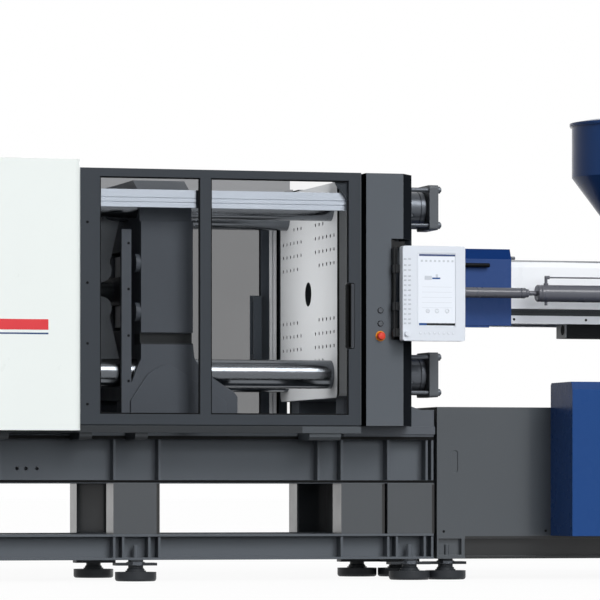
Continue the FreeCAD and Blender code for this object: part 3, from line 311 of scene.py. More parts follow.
def cover_enamels(look):
    """Enamel and powder coat of the doors, covers, guide beams, edge trims and stripes."""
    # a darker grey enamel on the doors' folded sheet
    MATERIALS["door"] = enamel("door_enamel", look.door, 0.4, 0.08, spec=0.2)
    # matt powder coat beside the fixed platen; painted shade makes the chamfer dark and the side
    # beside the door black, and the raised ring round the emergency stop is amber
    amber_ring = patch(tone("#D8892A"), (BUTTON_X - 31, BUTTON_X + 31), (None, GUARD_FACE - 0.6),
                       (STOP_HEIGHT - 31, STOP_HEIGHT + 31))
    MATERIALS["cover"] = enamel(
        "cover_powder", look.cover, 0.5, 0.08, edge_wear_and_highlight=0.25, spec=0.0,
        base=in_turn(patch(tone("#1B1E22"), x=(546.8, None), y=(None, -500)),
                     patch(PAINTED_SHADE_BLACK, x=(None, 352.5)), amber_ring))
    # glossy white enamel of the clamp covers
    MATERIALS["white"] = enamel("white_enamel", look.white, 0.32, 0.04, drift=0.012, edge_wear_and_highlight=0.0,
                                coat=0.2)
    # pale grey enamel of the barrel cover, with its top painted a darker grey as painted shade
    MATERIALS["pale"] = enamel("pale_enamel", look.pale, 0.3, 0.05, drift=0.02, edge_wear_and_highlight=0.0,
                               coat=0.2, base=patch(tone("#7C8086"), z=(1643.5, None)))
    # light enamel of the guide beams
    MATERIALS["beam_pale"] = enamel("guide_enamel", tone("#E2E6EC"), 0.34, 0.05, drift=0.02,
                                    edge_wear_and_highlight=0.0)
    # pale end plate of the cable box
    MATERIALS["edge_grey"] = enamel("edge_enamel", tone("#80848A"), 0.4, 0.08, edge_wear_and_highlight=0.0)
    # folded sheet along the front door's closing edge
    MATERIALS["edge_dark"] = enamel("edge_dark_enamel", tone("#3A3E43"), 0.4, 0.08, edge_wear_and_highlight=0.0)
    # anodised profile along the rear door's edge
    MATERIALS["edge_light"] = enamel("anodised_edge", tone("#CDCFD2"), 0.45, 0.04, edge_wear_and_highlight=0.0)
    # stripes of coloured enamel on the white covers
    MATERIALS["stripe_red"] = enamel("stripe_red", tone("#D63A40"), 0.34, 0.04, edge_wear_and_highlight=0.0)
    MATERIALS["stripe_navy"] = enamel("stripe_navy", tone("#2A4472"), 0.34, 0.04, edge_wear_and_highlight=0.0)


def blue_enamels(look):
    """Deep blue enamels; the upper slopes are painted a deeper tone as painted shade, because
    these catch the light.
    """
    # painted shade: the front cabinet's upper slope is a deeper blue
    MATERIALS["blue"] = enamel(
        "blue_enamel", look.cabinet, 0.28, 0.06, edge_wear_and_highlight=0.1, spec=0.05,
        base=patch(tone("#1F3F74"), y=(None, -830), z=(966.2, None)))
    # painted shade: the purge guard's top slope is a deeper blue; the purge guard's handle is
    # black
    MATERIALS["guard_blue"] = enamel(
        "guard_enamel", look.guard, 0.28, 0.06, edge_wear_and_highlight=0.1, spec=0.05,
        base=in_turn(patch(tone("#022B64"), z=(1649.5, None)),
                     patch(tone("#0B0D10"), y=(None, -311.2))))
    MATERIALS["hopper_blue"] = enamel("hopper_enamel", look.hopper, 0.2, 0.04, edge_wear_and_highlight=0.0,
                                      coat=0.05, spec=0.1)


def casting_finishes(look):
    """Enamel over the cast platens, and the fixed platen's ground face."""
    # the as-cast skin has pits about 5 mm wide, and the recess above the shoes is painted dark
    # as painted shade
    MATERIALS["casting"] = enamel(
        "casting_enamel", look.casting, 0.5, 0.3, 5.0, edge_wear_and_highlight=0.25, spec=0.25,
        base=patch(tone("#16191B"), (-790, -495), (None, -400), (1186, 1241)))
    # fixed platen: ground face; a grey edge, made paler as painted light where the door frame
    # shades it; a black line along that edge and dark drilled holes and bore, both painted
    # shade; enamel on the rest
    # limits of the ground face, the back, the front edge and the foot of the mould area
    face, back, edge, foot = 252.8, 330, -540, 925
    MATERIALS["platen_face"] = metal(
        "ground_platen", look.casting, 0.5, (1.0, 1.0, 30.0), 3.3, 0.04, metallic=0.2,
        base=in_turn(patch(tone("#D3D5D7"), x=(None, face), z=(foot, None)),
                     patch(tone("#D5D7D9"), x=(None, back), z=(2012, None)),
                     patch(tone("#A3A6A9"), (face, back), (None, edge), (foot, 2000)),
                     patch(PAINTED_SHADE_BLACK, (face, 263), (None, edge), (foot, 2000)),
                     patch(tone("#202326"), (face, 329), (-535, 535), (935, 2005))))


def working_metals():
    """Bare and painted metals of the working parts, the door's rail and the feet."""
    # turned and milled steel
    MATERIALS["machined"] = metal("machined_steel", tone("#8F9297"), 0.34, (20.0, 1.0, 1.0))
    # nuts of oiled dark steel
    MATERIALS["oiled"] = metal("oiled_steel", tone("#54585E"), 0.38, line_mm=2.5, metallic=0.8)
    # hard chrome of the tie bars, polished, with long faint drifts of tone; its tone is darker
    # than real chrome's, which paints a dark reflection into it
    MATERIALS["chrome"] = metal("hard_chrome", tone("#6C7075"), 0.2, line_mm=60.0, texture=0.0,
                                drift=0.03)
    # blackened steel of rails and rods
    MATERIALS["black_steel"] = metal("blackened_steel", tone("#2A2E32"), 0.4, line_mm=2.5,
                                     metallic=0.6)
    # milled links of the toggle
    MATERIALS["link"] = metal("link_steel", tone("#53575C"), 0.36, metallic=0.7)
    # extruded aluminium, drawn along its length
    MATERIALS["aluminium"] = metal("extruded_aluminium", tone("#B4BCC7"), 0.4,
                                   (1.0, 30.0, 30.0), 11.0, metallic=0.5)
    # grey enamel of the retaining plates, and a glossier one on the carriage cylinders
    MATERIALS["plate"] = enamel("plate_enamel", tone("#51555A"))
    MATERIALS["cylinder"] = enamel("cylinder_enamel", tone("#54565E"), 0.28, 0.05, edge_wear_and_highlight=0.1,
                                   coat=0.2)
    # cast iron feet in black paint
    MATERIALS["foot"] = enamel("foot_paint", tone("#23262A"), 0.5, 0.25, 3.0)


def plastics(look):
    """Window sheet, moulded plastics with a spark texture drawn at 0.7 mm, and rubber."""
    # clear polycarbonate, and the smoke tinted sheet at the rear
    MATERIALS["clear"] = sheet("clear_sheet", tone("#FFFFFF"), 0.93)
    MATERIALS["smoke"] = sheet("smoke_sheet", tone("#F5F6F8"), 0.25)
    # the panel's housing and knob, with black hinge eyes
    MATERIALS["white_plastic"] = enamel(
        "white_plastic", look.panel, 0.35, 0.06, 0.7, 0.01, edge_wear_and_highlight=0.0,
        base=patch(tone("#17191C"), x=(None, 510.5)))
    MATERIALS["black_plastic"] = enamel("black_plastic", tone("#0E1012"), 0.36, 0.12, 0.7,
                                        edge_wear_and_highlight=0.0)
    # the door handle: black cup with a grey grab edge
    MATERIALS["handle"] = enamel(
        "handle_plastic", tone("#050607"), 0.4, 0.12, 0.7, edge_wear_and_highlight=0.0, spec=0.1,
        base=patch(tone("#3F4247"), x=(274.2, None)))
    MATERIALS["grey_plastic"] = enamel("grey_plastic", tone("#4B4F55"), 0.36, 0.08, 0.7,
                                       edge_wear_and_highlight=0.0)
    MATERIALS["red_plastic"] = enamel("red_plastic", tone("#CF3726"), 0.25, 0.03, edge_wear_and_highlight=0.0,
                                      coat=0.3)
    # black rubber of the window seals, and the dull black of small screws and the cable box
    MATERIALS["rubber"] = enamel("seal_rubber", tone("#121315"), 0.7, 0.2, 1.0, edge_wear_and_highlight=0.0,
                                 spec=0.1)
    # screen glass over the display, in its lit tones, and the keys
    for name, code in (("screen_white", "#E6ECF5"), ("screen_navy", "#3A4A74"),
                       ("screen_dark", "#14181F"), ("screen_blue", "#1B4C8C"),
                       ("screen_grey", "#C6CCD5"), ("key_grey", "#C4CAD3")):
        MATERIALS[name] = enamel(name, tone(code), 0.2, 0.0, 5.0, 0.01, edge_wear_and_highlight=0.0, coat=0.2)


NODE_FINISH = {
    "bed": ["bed_cross_members", "injection_pedestal", "injection_carriage"],
    "leg": ["bed_legs"],
    "base": ["injection_base"],
    "track": ["door_tracks"],
    "beam": ["bed_beams"],
    "door": ["front_door_frame", "rear_door_frame"],
    "cover": ["front_platen_cover", "rear_platen_cover"],
    "casting": ["moving_platen", "platen_shoes", "rear_platen"],
    "platen_face": ["fixed_platen"],
    "machined": ["ejector_plate", "crosshead", "barrel", "screw", "hopper_gate"],
    "oiled": ["tie_bar_nuts", "adjusting_nuts", "retaining_studs"],
    "chrome": ["tie_bars"],
    "plate": ["retaining_plates"],
    "beam_pale": ["injection_guide_beams"],
    "cylinder": ["carriage_cylinders", "carriage_rods"],
    "black_steel": ["injection_guide_rails", "ejector_cylinder", "clamp_cylinder"],
    "link": ["upper_rear_links", "lower_rear_links", "upper_front_links", "lower_front_links",
             "upper_crosshead_links", "lower_crosshead_links"],
    "blue": ["front_cabinet", "rear_cabinet", "front_cabinet_door", "injection_drive"],
    "guard_blue": ["purge_guard"],
    "hopper_blue": ["hopper", "hopper_lid"],
    "white": ["front_clamp_cover", "rear_clamp_cover", "clamp_end_cover"],
    "pale": ["barrel_cover"],
    "aluminium": ["front_door_rail"],
    "clear": ["front_door_window"],
    "smoke": ["rear_door_window"],
    "white_plastic": ["control_panel", "panel_knob"],
    "black_plastic": ["panel_arm", "cable_box"],
    "handle": ["front_door_handle"],
    "grey_plastic": ["start_button", "stop_button"],
    "red_plastic": ["emergency_stop"],
    "foot": ["levelling_feet"],
}


# ---- settings ----
def color_property(name, code, what):
    """A colour setting."""
    return bpy.props.FloatVectorProperty(name=name, description=what, subtype="COLOR", size=3,
                                         min=0.0, max=1.0, default=tone(code)[:3])


def length_property(name, value, what):
    """A length setting in metres."""
    return bpy.props.FloatProperty(name=name, description=what, default=value, min=0.0,
                                   unit="LENGTH")


def light_property(name, value, what, subtype="NONE"):
    """A strength or angle of the studio's light."""
    return bpy.props.FloatProperty(name=name, description=what, default=value, min=0.0,
                                   subtype=subtype)


class MachineLook(bpy.types.PropertyGroup):
    """The colours that a buyer of the machine would choose"""
    bed: color_property("Bed", "#3F4449", "Enamel of the bed and base")
    beam: color_property("Beams", "#575C62", "Enamel of the side beams")
    door: color_property("Doors", "#30353B", "Enamel of the guard doors")
    cover: color_property("Platen covers", "#5C6167", "Enamel beside the fixed platen")
    casting: color_property("Castings", "#454A51", "Enamel of the platens")
    cabinet: color_property("Cabinets", "#25477F", "Enamel of the cabinets and drive")
    guard: color_property("Purge guard", "#344B7D", "Enamel of the purge guard")
    hopper: color_property("Hopper", "#18396B", "Enamel of the hopper")
    white: color_property("Clamp covers", "#E6ECEA", "Enamel of the clamp covers")
    pale: color_property("Barrel cover", "#EBEEF2", "Enamel of the barrel cover")
    panel: color_property("Panel", "#D9DFE8", "Plastic of the control panel")


class MachineSizes(bpy.types.PropertyGroup):
    """The sizes of the small pieces"""
    seal_width: length_property("Seal", 0.007, "Width of the window seals")
    screw_head: length_property("Screw head", 0.011, "Diameter of the cover screws")
    foot_nut: length_property("Foot nut", 0.096, "Width of the feet's lock nuts over corners")
    key_width: length_property("Key width", 0.013, "Width of a panel key")
    key_height: length_property("Key height", 0.009, "Height of a panel key")
    stripe: length_property("Stripe", 0.052, "Height of the red stripe")
    cable_box_depth: length_property("Cable box", 0.154, "Depth of the cable box")


class MachineStudio(bpy.types.PropertyGroup):
    """The light of the studio"""
    sun: light_property("Main light", 1.6, "Strength of the main light")
    sun_height: light_property("Height", math.radians(34.0), "Main light above level", "ANGLE")
    front: light_property("Front", 2.25, "Strength of the low front light")
    fill: light_property("Fill", 1.3, "Strength of the light from behind")
    sky: light_property("Sky", 0.18, "Strength of the light all round")
    work_lamp: light_property("Lamp", 10.0, "Lamp between the platens", "POWER")
    side: light_property("Side", 0.5, "Strength of the light on the end")


class MACHINE_OT_finishes(bpy.types.Operator):
    """Gives every solid piece of the machine its real finish"""
    bl_idname = "machine.finishes"
    bl_label = "Finishes"

    def execute(self, context):
        look = context.scene.machine_look
        frame_enamels(look)
        cover_enamels(look)
        blue_enamels(look)
        casting_finishes(look)
        working_metals()
        plastics(look)
        for finish, names in NODE_FINISH.items():
            for name in names:
                mesh = NODES[name].data
                mesh.materials.clear()
                mesh.materials.append(MATERIALS[finish])
        return {"FINISHED"}


# ---- making pieces ----
def keep_piece(name, mesh, body):
    """An object at the origin for a finished mesh, on its body."""
    mesh.name = name
    piece = bpy.data.objects.new(name, mesh)
    bpy.context.scene.collection.objects.link(piece)
    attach(piece, body)
    return piece


def paint_faces(corners, material):
    """Gives the faces round these vertices a material of the piece."""
    for face in {f for corner in corners for f in corner.link_faces}:
        face.material_index = material


def slab(bm, x, y, z, material=0):
    """A block between two limits on each axis, in millimetres from the door's datum."""
    low, high = at(x[0], y[0], z[0]), at(x[1], y[1], z[1])
    corners = bmesh.ops.create_cube(bm, size=1.0)["verts"]
    for corner in corners:
        corner.co = Vector([low[i] + (corner.co[i] + 0.5) * (high[i] - low[i])
                            for i in range(3)])
    paint_faces(corners, material)


def rod(bm, start, end, radius, end_radius=None, sides=24, material=0):
    """A round rod or taper between two places, in millimetres."""
    a, b = at(*start), at(*end)
    way = (b - a).to_track_quat("Z", "Y").to_matrix().to_4x4()
    far = radius if end_radius is None else end_radius
    made = bmesh.ops.create_cone(bm, cap_ends=True, segments=sides, radius1=radius * MM,
                                 radius2=far * MM, depth=(b - a).length,
                                 matrix=Matrix.Translation((a + b) / 2.0) @ way)
    paint_faces(made["verts"], material)


def build(name, bm, finishes, body, bevel=0.0):
    """Turns a bmesh into a piece with softly broken edges."""
    bmesh.ops.recalc_face_normals(bm, faces=bm.faces)
    mesh = bpy.data.meshes.new(name)
    bm.to_mesh(mesh)
    bm.free()
    for finish in finishes:
        mesh.materials.append(MATERIALS[finish])
    mesh.shade_smooth()
    mesh.set_sharp_from_angle(angle=math.radians(30.0))
    piece = keep_piece(name, mesh, body)
    if bevel > 0.0:
        soft = piece.modifiers.new("broken_edge", "BEVEL")
        soft.width = bevel * MM
        soft.segments = 2
        soft.limit_method = "ANGLE"
    return piece


# ---- pieces that repeat, grown on points by geometry nodes ----
def new_group(name, width, height):
    """A geometry tree with a mesh input and named inputs, and the sockets that they give."""
    tree = bpy.data.node_groups.new(name, "GeometryNodeTree")
    tree.interface.new_socket("Geometry", in_out="INPUT", socket_type="NodeSocketGeometry")
    for label, kind, value in (("Width", "Float", width), ("Height", "Float", height),
                               ("Turn", "Vector", (0.0, 0.0, 0.0)),
                               ("Material", "Material", None)):
        socket = tree.interface.new_socket(label, in_out="INPUT",
                                           socket_type="NodeSocket" + kind)
        if value is not None:
            socket.default_value = value
    tree.interface.new_socket("Geometry", in_out="OUTPUT", socket_type="NodeSocketGeometry")
    return tree, add(tree, "NodeGroupInput").outputs


def end_group(tree, given, shape):
    """One copy of the shape on each point, turned, made real and painted."""
    turn = add(tree, "FunctionNodeEulerToRotation", {"Euler": given["Turn"]})
    copies = add(tree, "GeometryNodeInstanceOnPoints",
                 {"Points": given["Geometry"], "Instance": shape,
                  "Rotation": turn.outputs["Rotation"]})
    real = add(tree, "GeometryNodeRealizeInstances",
               {"Geometry": copies.outputs["Instances"]})
    painted = add(tree, "GeometryNodeSetMaterial",
                  {"Geometry": real.outputs["Geometry"], "Material": given["Material"]})
    add(tree, "NodeGroupOutput", {"Geometry": painted.outputs["Geometry"]})
    return tree


def stacked(tree, layers):
    """Plates and tapers one over the other: (sides, lower radius, upper radius, height)."""
    parts = []
    floor = 0.0
    for sides, low, high, height in layers:
        cone = add(tree, "GeometryNodeMeshCone",
                   {"Vertices": sides, "Radius Bottom": low, "Radius Top": high,
                    "Depth": height})
        up = add(tree, "ShaderNodeCombineXYZ", {"Z": floor})
        lifted = add(tree, "GeometryNodeTransform",
                     {"Geometry": cone.outputs["Mesh"], "Translation": up.outputs["Vector"]})
        parts.append(lifted.outputs["Geometry"])
        floor = add(tree, "ShaderNodeMath", {0: floor, 1: height},
                    operation="ADD").outputs["Value"]
    return add(tree, "GeometryNodeJoinGeometry", {"Geometry": parts}).outputs["Geometry"]


def head_group(name, sides):
    """Heads with a washer below and a broken upper edge: hexagonal, or round with many sides."""
    tree, given = new_group(name, 0.026, 0.01)
    parts = {}
    for side, shares in (("Width", (0.62, 0.6, 0.5, 0.42)), ("Height", (0.18, 0.64, 0.18))):
        parts[side] = [add(tree, "ShaderNodeMath", {0: given[side], 1: share},
                           operation="MULTIPLY").outputs["Value"] for share in shares]
    washer, washer_top, head, crown = parts["Width"]
    low, body, top = parts["Height"]
    shape = stacked(tree, [(24, washer, washer_top, low), (sides, head, head, body),
                           (sides, head, crown, top)])
    return end_group(tree, given, shape)


def key_group():
    """Panel keys: a low plate with a smaller raised cap."""
    tree, given = new_group("panel_keys", 0.013, 0.009)
    parts = []
    for share, middle, thick in ((1.0, 0.0003, 0.0006), (0.8, 0.0007, 0.0005)):
        width, height = [add(tree, "ShaderNodeMath", {0: given[side], 1: share},
                             operation="MULTIPLY").outputs["Value"]
                         for side in ("Width", "Height")]
        size = add(tree, "ShaderNodeCombineXYZ", {"X": width, "Y": height, "Z": thick})
        plate = add(tree, "GeometryNodeMeshCube", {"Size": size.outputs["Vector"]})
        lifted = add(tree, "GeometryNodeTransform",
                     {"Geometry": plate.outputs["Mesh"], "Translation": (0.0, 0.0, middle)})
        parts.append(lifted.outputs["Geometry"])
    joined = add(tree, "GeometryNodeJoinGeometry", {"Geometry": parts})
    return end_group(tree, given, joined.outputs["Geometry"])


def grow(name, spots, tree, values, body):
    """Runs a tree on spots in millimetres and keeps the result as a plain mesh."""
    mesh = bpy.data.meshes.new(name + "_spots")
    mesh.from_pydata([tuple(at(*spot)) for spot in spots], [], [])
    carrier = bpy.data.objects.new(name + "_spots", mesh)
    bpy.context.scene.collection.objects.link(carrier)
    modifier = carrier.modifiers.new("grow", "NODES")
    modifier.node_group = tree
    for item in tree.interface.items_tree:
        if item.item_type == "SOCKET" and item.in_out == "INPUT" and item.name in values:
            modifier[item.identifier] = values[item.name]
    view = bpy.context.evaluated_depsgraph_get()
    grown = bpy.data.meshes.new_from_object(carrier.evaluated_get(view))
    bpy.data.objects.remove(carrier)
    bpy.data.meshes.remove(mesh)
    if not grown.polygons:
        raise RuntimeError(name + " has no faces")
    return keep_piece(name, grown, body)


class MACHINE_OT_fasteners(bpy.types.Operator):
    """Screws and bolts that show on the bed, doors, covers and beams"""
    bl_idname = "machine.fasteners"
    bl_label = "Screws and bolts"

    def execute(self, context):
        sizes = context.scene.machine_sizes
        hexagon = head_group("hexagon_heads", 6)
        button = head_group("button_heads", 20)
        screw = {"Width": sizes.screw_head, "Height": 0.003, "Turn": TO_FRONT,
                 "Material": MATERIALS["rubber"]}
        nut = {"Width": sizes.foot_nut, "Height": 0.018, "Turn": (0.0, 0.0, 0.0),
               "Material": MATERIALS["oiled"]}
        grow("base_screws", [(829, -505, 246), (1377, -505, 248)], button, screw, "frame")
        grow("guide_screws", [(1294 + 394 * i, -237, 1343) for i in range(4)], button, screw,
             "frame")
        grow("door_screws", [(-1082, GUARD_FACE, 881 + 300 * i) for i in range(4)], button,
             screw, "front_door")
        grow("shoe_bolts", [(-831, -547, z) for z in (1001, 1228, 1461, 1690)], button, screw,
             "moving_platen")
        grow("foot_nuts", [(x, side * y, 80) for x, y in FOOT_PLACES for side in (-1, 1)],
             hexagon, nut, "frame")
        return {"FINISHED"}


def seal_round(bm, pane, y, width, right_parts=(PANE_HEIGHT,)):
    """A seal round a pane, whose right side may come in parts beside a cut-out."""
    left, right = pane
    foot, top = PANE_HEIGHT
    slab(bm, (left, left + width), y, PANE_HEIGHT)
    for part in right_parts:
        slab(bm, (right - width, right), y, part)
    slab(bm, (left + width, right - width), y, (foot, foot + width))
    slab(bm, (left + width, right - width), y, (top - width, top))


class MACHINE_OT_front_door(bpy.types.Operator):
    """Seals and edge trim of the front door"""
    bl_idname = "machine.front_door"
    bl_label = "Front door trim"

    def execute(self, context):
        width = context.scene.machine_sizes.seal_width / MM
        bm = bmesh.new()
        seal_round(bm, LEFT_PANE, FRONT_SEAL_Y, width)
        seal_round(bm, FRONT_RIGHT_PANE, FRONT_SEAL_Y, width, HANDLE_SIDE_SEALS)
        build("front_window_seals", bm, ["rubber"], "front_door", 1.5)
        bm = bmesh.new()
        slab(bm, (319.5, 325.5), (GUARD_FACE - 2, GUARD_FACE + 0.5), DOOR_HEIGHT)
        build("front_door_edge", bm, ["edge_dark"], "front_door", 0.9)
        return {"FINISHED"}


class MACHINE_OT_rear_door(bpy.types.Operator):
    """Seals and the aluminium edge profile of the rear door"""
    bl_idname = "machine.rear_door"
    bl_label = "Rear door trim"

    def execute(self, context):
        width = context.scene.machine_sizes.seal_width / MM
        bm = bmesh.new()
        for pane in (LEFT_PANE, REAR_RIGHT_PANE):
            seal_round(bm, pane, REAR_SEAL_Y, width)
        build("rear_window_seals", bm, ["rubber"], "rear_door", 1.5)
        bm = bmesh.new()
        # a slotted profile: two lips and the floor of the slot, and a black rubber strip beside
        # it that paints in the shade of the gap to the platen
        slab(bm, (227, 264), (684, 690), DOOR_HEIGHT, 0)
        slab(bm, (227, 241), (676, 684), DOOR_HEIGHT, 0)
        slab(bm, (250, 264), (676, 684), DOOR_HEIGHT, 0)
        slab(bm, (264, 279), (686, 690), DOOR_HEIGHT, 1)
        build("rear_door_profile", bm, ["edge_light", "rubber"], "rear_door", 1.0)
        return {"FINISHED"}


def mark(bm, x, z, layer, tint):
    """A printed block on the screen, a tenth of a millimetre higher with each layer."""
    slab(bm, x, (SCREEN_FACE - 0.1 - 0.1 * layer, SCREEN_FACE + 0.1), z, tint)


def ring_mark(bm, place, radii, fronts, backs, grey, white):
    """A grey disc with a white one before it, which leaves a grey ring."""
    x, z = place
    for radius, front, back, tint in zip(radii, fronts, backs, (grey, white)):
        rod(bm, (x, front, z), (x, back, z), radius, material=tint)


class MACHINE_OT_panel(bpy.types.Operator):
    """Screen, keys and legend of the control panel"""
    bl_idname = "machine.panel"
    bl_label = "Control panel"

    def execute(self, context):
        sizes = context.scene.machine_sizes
        white, navy, dark, blue, grey = range(5)
        bm = bmesh.new()
        slab(bm, (591, 786), (SCREEN_FACE, -835.0), (1278, 1644), white)
        # bars at the top and the foot of the screen
        mark(bm, (597, 786), (1631, 1641), 1, navy)
        mark(bm, (597, 786), (1283, 1295), 1, dark)
        mark(bm, (597, 637), (1283, 1295), 2, blue)
        # a plain outline of the machine, in two blocks and a hopper
        mark(bm, (626, 664), (1512, 1532), 1, grey)
        mark(bm, (666, 708), (1516, 1524), 1, blue)
        mark(bm, (684, 696), (1524, 1540), 1, grey)
        for row in range(5):
            mark(bm, (612, 770), (1372 + 26 * row, 1373.2 + 26 * row), 1, grey)
        for column in range(8):
            mark(bm, (606 + 23 * column, 617 + 23 * column), (1602, 1612), 1, grey)
        for x in (643, 691, 744):
            ring_mark(bm, (x, 1356), (11, 9), (SCREEN_FACE - 0.3, SCREEN_FACE - 0.4),
                      (SCREEN_FACE + 0.1, SCREEN_FACE + 0.1), grey, white)
        # round keys below the screen
        for i in range(8):
            ring_mark(bm, (604 + 24.6 * i, 1245), (6.5, 5.2),
                      (PANEL_FACE - 0.5, PANEL_FACE - 0.8), (PANEL_FACE + 0.1, PANEL_FACE),
                      grey, white)
        build("panel_screen", bm, ["screen_white", "screen_navy", "screen_dark", "screen_blue",
                                   "screen_grey"], "control_panel")
        values = {"Width": sizes.key_width, "Height": sizes.key_height, "Turn": TO_FRONT,
                  "Material": MATERIALS["key_grey"]}
        grow("panel_keys", [(x, PANEL_FACE, z) for z in KEY_ROWS for x in KEY_COLUMNS],
             key_group(), values, "control_panel")
        bm = bmesh.new()
        slab(bm, (532.8, 535.2), (-849.95, -849.0), (1242, 1253))
        build("knob_pointer", bm, ["screen_dark"], "panel_knob")
        return {"FINISHED"}


class MACHINE_OT_cover_stripes(bpy.types.Operator):
    """Plain coloured stripes along the clamp covers"""
    bl_idname = "machine.cover_stripes"
    bl_label = "Cover stripes"

    def execute(self, context):
        high = context.scene.machine_sizes.stripe / MM
        for name, y in (("front", (-780.4, -779.0)), ("rear", (779.0, 780.4))):
            bm = bmesh.new()
            slab(bm, STRIPE_ENDS, y, (STRIPE_FOOT, STRIPE_FOOT + high), 0)
            slab(bm, STRIPE_ENDS, y, (STRIPE_FOOT - 22, STRIPE_FOOT - 14), 1)
            build(name + "_cover_stripes", bm, ["stripe_red", "stripe_navy"], "frame")
        return {"FINISHED"}


def collar(bm, place, outer, inner, height, sides=32):
    """A flat ring that stands out to the front from a place in millimetres."""
    circles = []
    for radius in (outer, inner):
        circle = bmesh.ops.create_circle(bm, segments=sides, radius=radius * MM)["verts"]
        for v in circle:
            v.co = at(*place) + Vector((v.co.x, 0.0, v.co.y))
        circles.append(circle)
    rim, bore = circles
    faces = [bm.faces.new((rim[i - 1], rim[i], bore[i], bore[i - 1])) for i in range(sides)]
    for v in bmesh.ops.extrude_face_region(bm, geom=faces)["geom"]:
        if isinstance(v, bmesh.types.BMVert):
            v.co.y -= height * MM


class MACHINE_OT_buttons(bpy.types.Operator):
    """Collars round the push buttons beside the control panel"""
    bl_idname = "machine.buttons"
    bl_label = "Button collars"

    def execute(self, context):
        bm = bmesh.new()
        for z in PUSH_BUTTON_HEIGHTS:
            collar(bm, (BUTTON_X, GUARD_FACE - 0.2, z), outer=15.0, inner=12.6, height=3.0)
        build("button_collars", bm, ["rubber"], "frame", 0.5)
        return {"FINISHED"}


class MACHINE_OT_cable_box(bpy.types.Operator):
    """Cable box under the front guide beam, with its pale end plate and cable entry"""
    bl_idname = "machine.cable_box"
    bl_label = "Cable box"

    def execute(self, context):
        front = -231.5
        back = front + context.scene.machine_sizes.cable_box_depth / MM
        foot, top = 1249, 1320.5
        bm = bmesh.new()
        slab(bm, (1582, 2049), (front, back), (foot, top), 0)
        slab(bm, (1579, 1582), (front, back), (foot, top), 1)
        rod(bm, (1577.6, -180, 1291), (1579.4, -180, 1291), 27, 26, 32, 0)
        # two shallow ribs stiffen the front
        for z in (1263, 1305):
            slab(bm, (1600, 2040), (front - 0.5, front), (z, z + 5), 0)
        piece = build("cable_box_shell", bm, ["rubber", "edge_grey"], "frame",
                      1.2)
        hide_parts("cable_box")
        return {"FINISHED"}


# ---- studio ----
def seen_directly(tree):
    """1 for what the camera, polished metal or glass sees, and 0 for light on the object."""
    path = add(tree, "ShaderNodeLightPath").outputs
    first = add(tree, "ShaderNodeMath", {0: path["Is Camera Ray"], 1: path["Is Glossy Ray"]},
                operation="MAXIMUM")
    return add(tree, "ShaderNodeMath",
               {0: first.outputs["Value"], 1: path["Is Transmission Ray"]},
               operation="MAXIMUM").outputs["Value"]


def make_floor(scene):
    """A white sheet that keeps a faint shadow."""
    far = 300.0                                 # half its width in metres
    sheet_tone = 0.08
    seen_white = 0.93
    mesh = bpy.data.meshes.new("floor")
    mesh.from_pydata([(-far, -far, 0), (far, -far, 0), (far, far, 0), (-far, far, 0)], [],
                     [(0, 1, 2, 3)])
    floor = bpy.data.objects.new("floor", mesh)
    scene.collection.objects.link(floor)
    material, tree = empty_material("floor_sheet")
    matt = add(tree, "ShaderNodeBsdfDiffuse", {"Color": (*[sheet_tone] * 3, 1.0)})
    share = add(tree, "ShaderNodeMath", {0: seen_directly(tree), 1: seen_white},
                operation="MULTIPLY")
    glow = add(tree, "ShaderNodeEmission",
               {"Color": (1.0, 1.0, 1.0, 1.0), "Strength": share.outputs["Value"]})
    both = add(tree, "ShaderNodeAddShader",
               {0: matt.outputs["BSDF"], 1: glow.outputs["Emission"]})
    add(tree, "ShaderNodeOutputMaterial", {"Surface": both.outputs["Shader"]})
    mesh.materials.append(material)


def make_world(scene, sky):
    """Soft light all round, and a white background for what sees it directly."""
    world = bpy.data.worlds.new("studio")
    scene.world = world
    world.use_nodes = True
    tree = world.node_tree
    tree.nodes.clear()
    soft = add(tree, "ShaderNodeBackground", {"Color": (0.97, 0.98, 1.0, 1.0), "Strength": sky})
    white = add(tree, "ShaderNodeBackground", {"Color": (1.0, 1.0, 1.0, 1.0), "Strength": 1.0})
    mix = add(tree, "ShaderNodeMixShader",
              {0: seen_directly(tree), 1: soft.outputs["Background"],
               2: white.outputs["Background"]})
    add(tree, "ShaderNodeOutputWorld", {"Surface": mix.outputs["Shader"]})


def lamp(name, kind, energy, place, target=(0.0, 0.0, 0.0), **settings):
    """A lamp at a place that shines towards a target."""
    data = bpy.data.lights.new(name, kind)
    data.energy = energy
    for key, value in settings.items():
        setattr(data, key, value)
    light = bpy.data.objects.new(name, data)
    light.location = place
    way = Vector(target) - Vector(place)
    light.rotation_euler = way.to_track_quat("-Z", "Y").to_euler()
    bpy.context.scene.collection.objects.link(light)
    return light


def make_lamps(studio):
    """Broad suns from the front, the back and the side, and a lamp between the platens."""
    level, up = math.cos(studio.sun_height), math.sin(studio.sun_height)
    lamp("main_light", "SUN", studio.sun, (2.6 * level, -9.66 * level, 10.0 * up),
         angle=math.radians(24.0))
    front = lamp("front_light", "SUN", studio.front, (1.2, -9.9, 1.0),
                 angle=math.radians(40.0))
    lamp("back_light", "SUN", studio.fill, (7.5, 6.0, 3.2), angle=math.radians(50.0))
    side = lamp("side_light", "SUN", studio.side, (-9.0, -2.0, 3.0), angle=math.radians(50.0))
    work = lamp("work_lamp", "AREA", studio.work_lamp, (-0.8, -0.1, 1.4), (0.0, -0.1, 1.4),
                shape="RECTANGLE", size=0.9, size_y=1.1)
    work.visible_camera = False
    # polished metal mirrors the main light and the back light alone
    for light in (front, side, work):
        light.visible_glossy = False


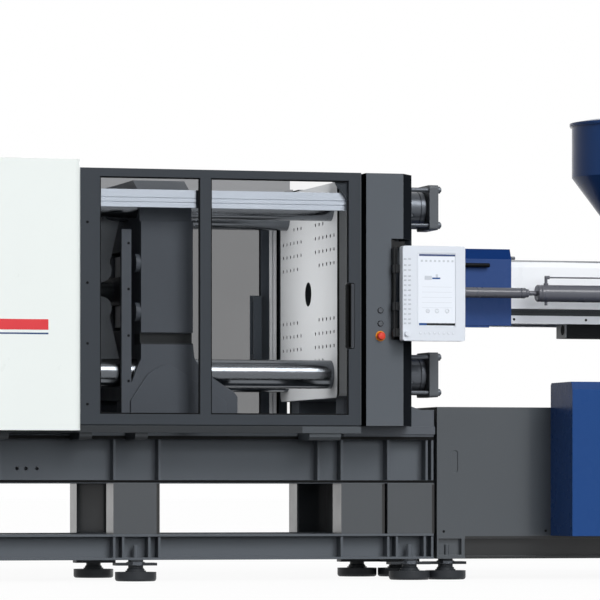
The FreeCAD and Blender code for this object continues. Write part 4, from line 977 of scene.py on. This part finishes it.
def make_camera(scene):
    """The camera of the photograph."""
    data = bpy.data.cameras.new("camera")
    camera = bpy.data.objects.new("camera", data)
    scene.collection.objects.link(camera)
    scene.camera = camera
    data.sensor_fit = "HORIZONTAL"
    data.sensor_width = SENSOR_WIDTH
    data.lens = SENSOR_WIDTH * FOCAL_LENGTH / PHOTO_SIDE
    data.shift_y = HORIZON_BELOW_MIDDLE / PHOTO_SIDE
    data.clip_start = 0.5
    data.clip_end = 900.0
    data.dof.use_dof = False
    camera.location = CAMERA_PLACE
    camera.rotation_euler = (math.radians(90.0), 0.0, -CAMERA_TURN)


class MACHINE_OT_stage(bpy.types.Operator):
    """Sets up the pale floor, the soft studio light and the camera"""
    bl_idname = "machine.stage"
    bl_label = "Studio"

    def execute(self, context):
        scene = context.scene
        make_floor(scene)
        make_world(scene, scene.machine_studio.sky)
        make_lamps(scene.machine_studio)
        make_camera(scene)
        scene.view_settings.view_transform = "Standard"
        return {"FINISHED"}


class MACHINE_PT_panel(bpy.types.Panel):
    """The settings and the steps in order"""
    bl_idname = "MACHINE_PT_panel"
    bl_label = "Injection moulding machine"
    bl_space_type = "VIEW_3D"
    bl_region_type = "UI"
    bl_category = "Machine"

    def draw(self, context):
        column = self.layout.column()
        for group in (context.scene.machine_look, context.scene.machine_sizes,
                      context.scene.machine_studio):
            for name in group.__annotations__:
                column.prop(group, name)
        for step in STEPS:
            column.operator(step.bl_idname)


STEPS = [MACHINE_OT_finishes, MACHINE_OT_fasteners, MACHINE_OT_front_door,
         MACHINE_OT_rear_door, MACHINE_OT_panel, MACHINE_OT_cover_stripes, MACHINE_OT_buttons,
         MACHINE_OT_cable_box, MACHINE_OT_stage]
GROUPS = [MachineLook, MachineSizes, MachineStudio]
CLASSES = GROUPS + STEPS + [MACHINE_PT_panel]


def register():
    """Adds the add-on's classes and settings."""
    for item in CLASSES:
        bpy.utils.register_class(item)
    bpy.types.Scene.machine_look = bpy.props.PointerProperty(type=MachineLook)
    bpy.types.Scene.machine_sizes = bpy.props.PointerProperty(type=MachineSizes)
    bpy.types.Scene.machine_studio = bpy.props.PointerProperty(type=MachineStudio)


def unregister():
    """Takes the add-on's classes and settings away."""
    del bpy.types.Scene.machine_studio
    del bpy.types.Scene.machine_sizes
    del bpy.types.Scene.machine_look
    for item in reversed(CLASSES):
        bpy.utils.unregister_class(item)


def main():
    """Runs every step in order."""
    register()
    for step in STEPS:
        group, name = step.bl_idname.split(".")
        getattr(getattr(bpy.ops, group), name)()


if __name__ == "__main__":
    main()
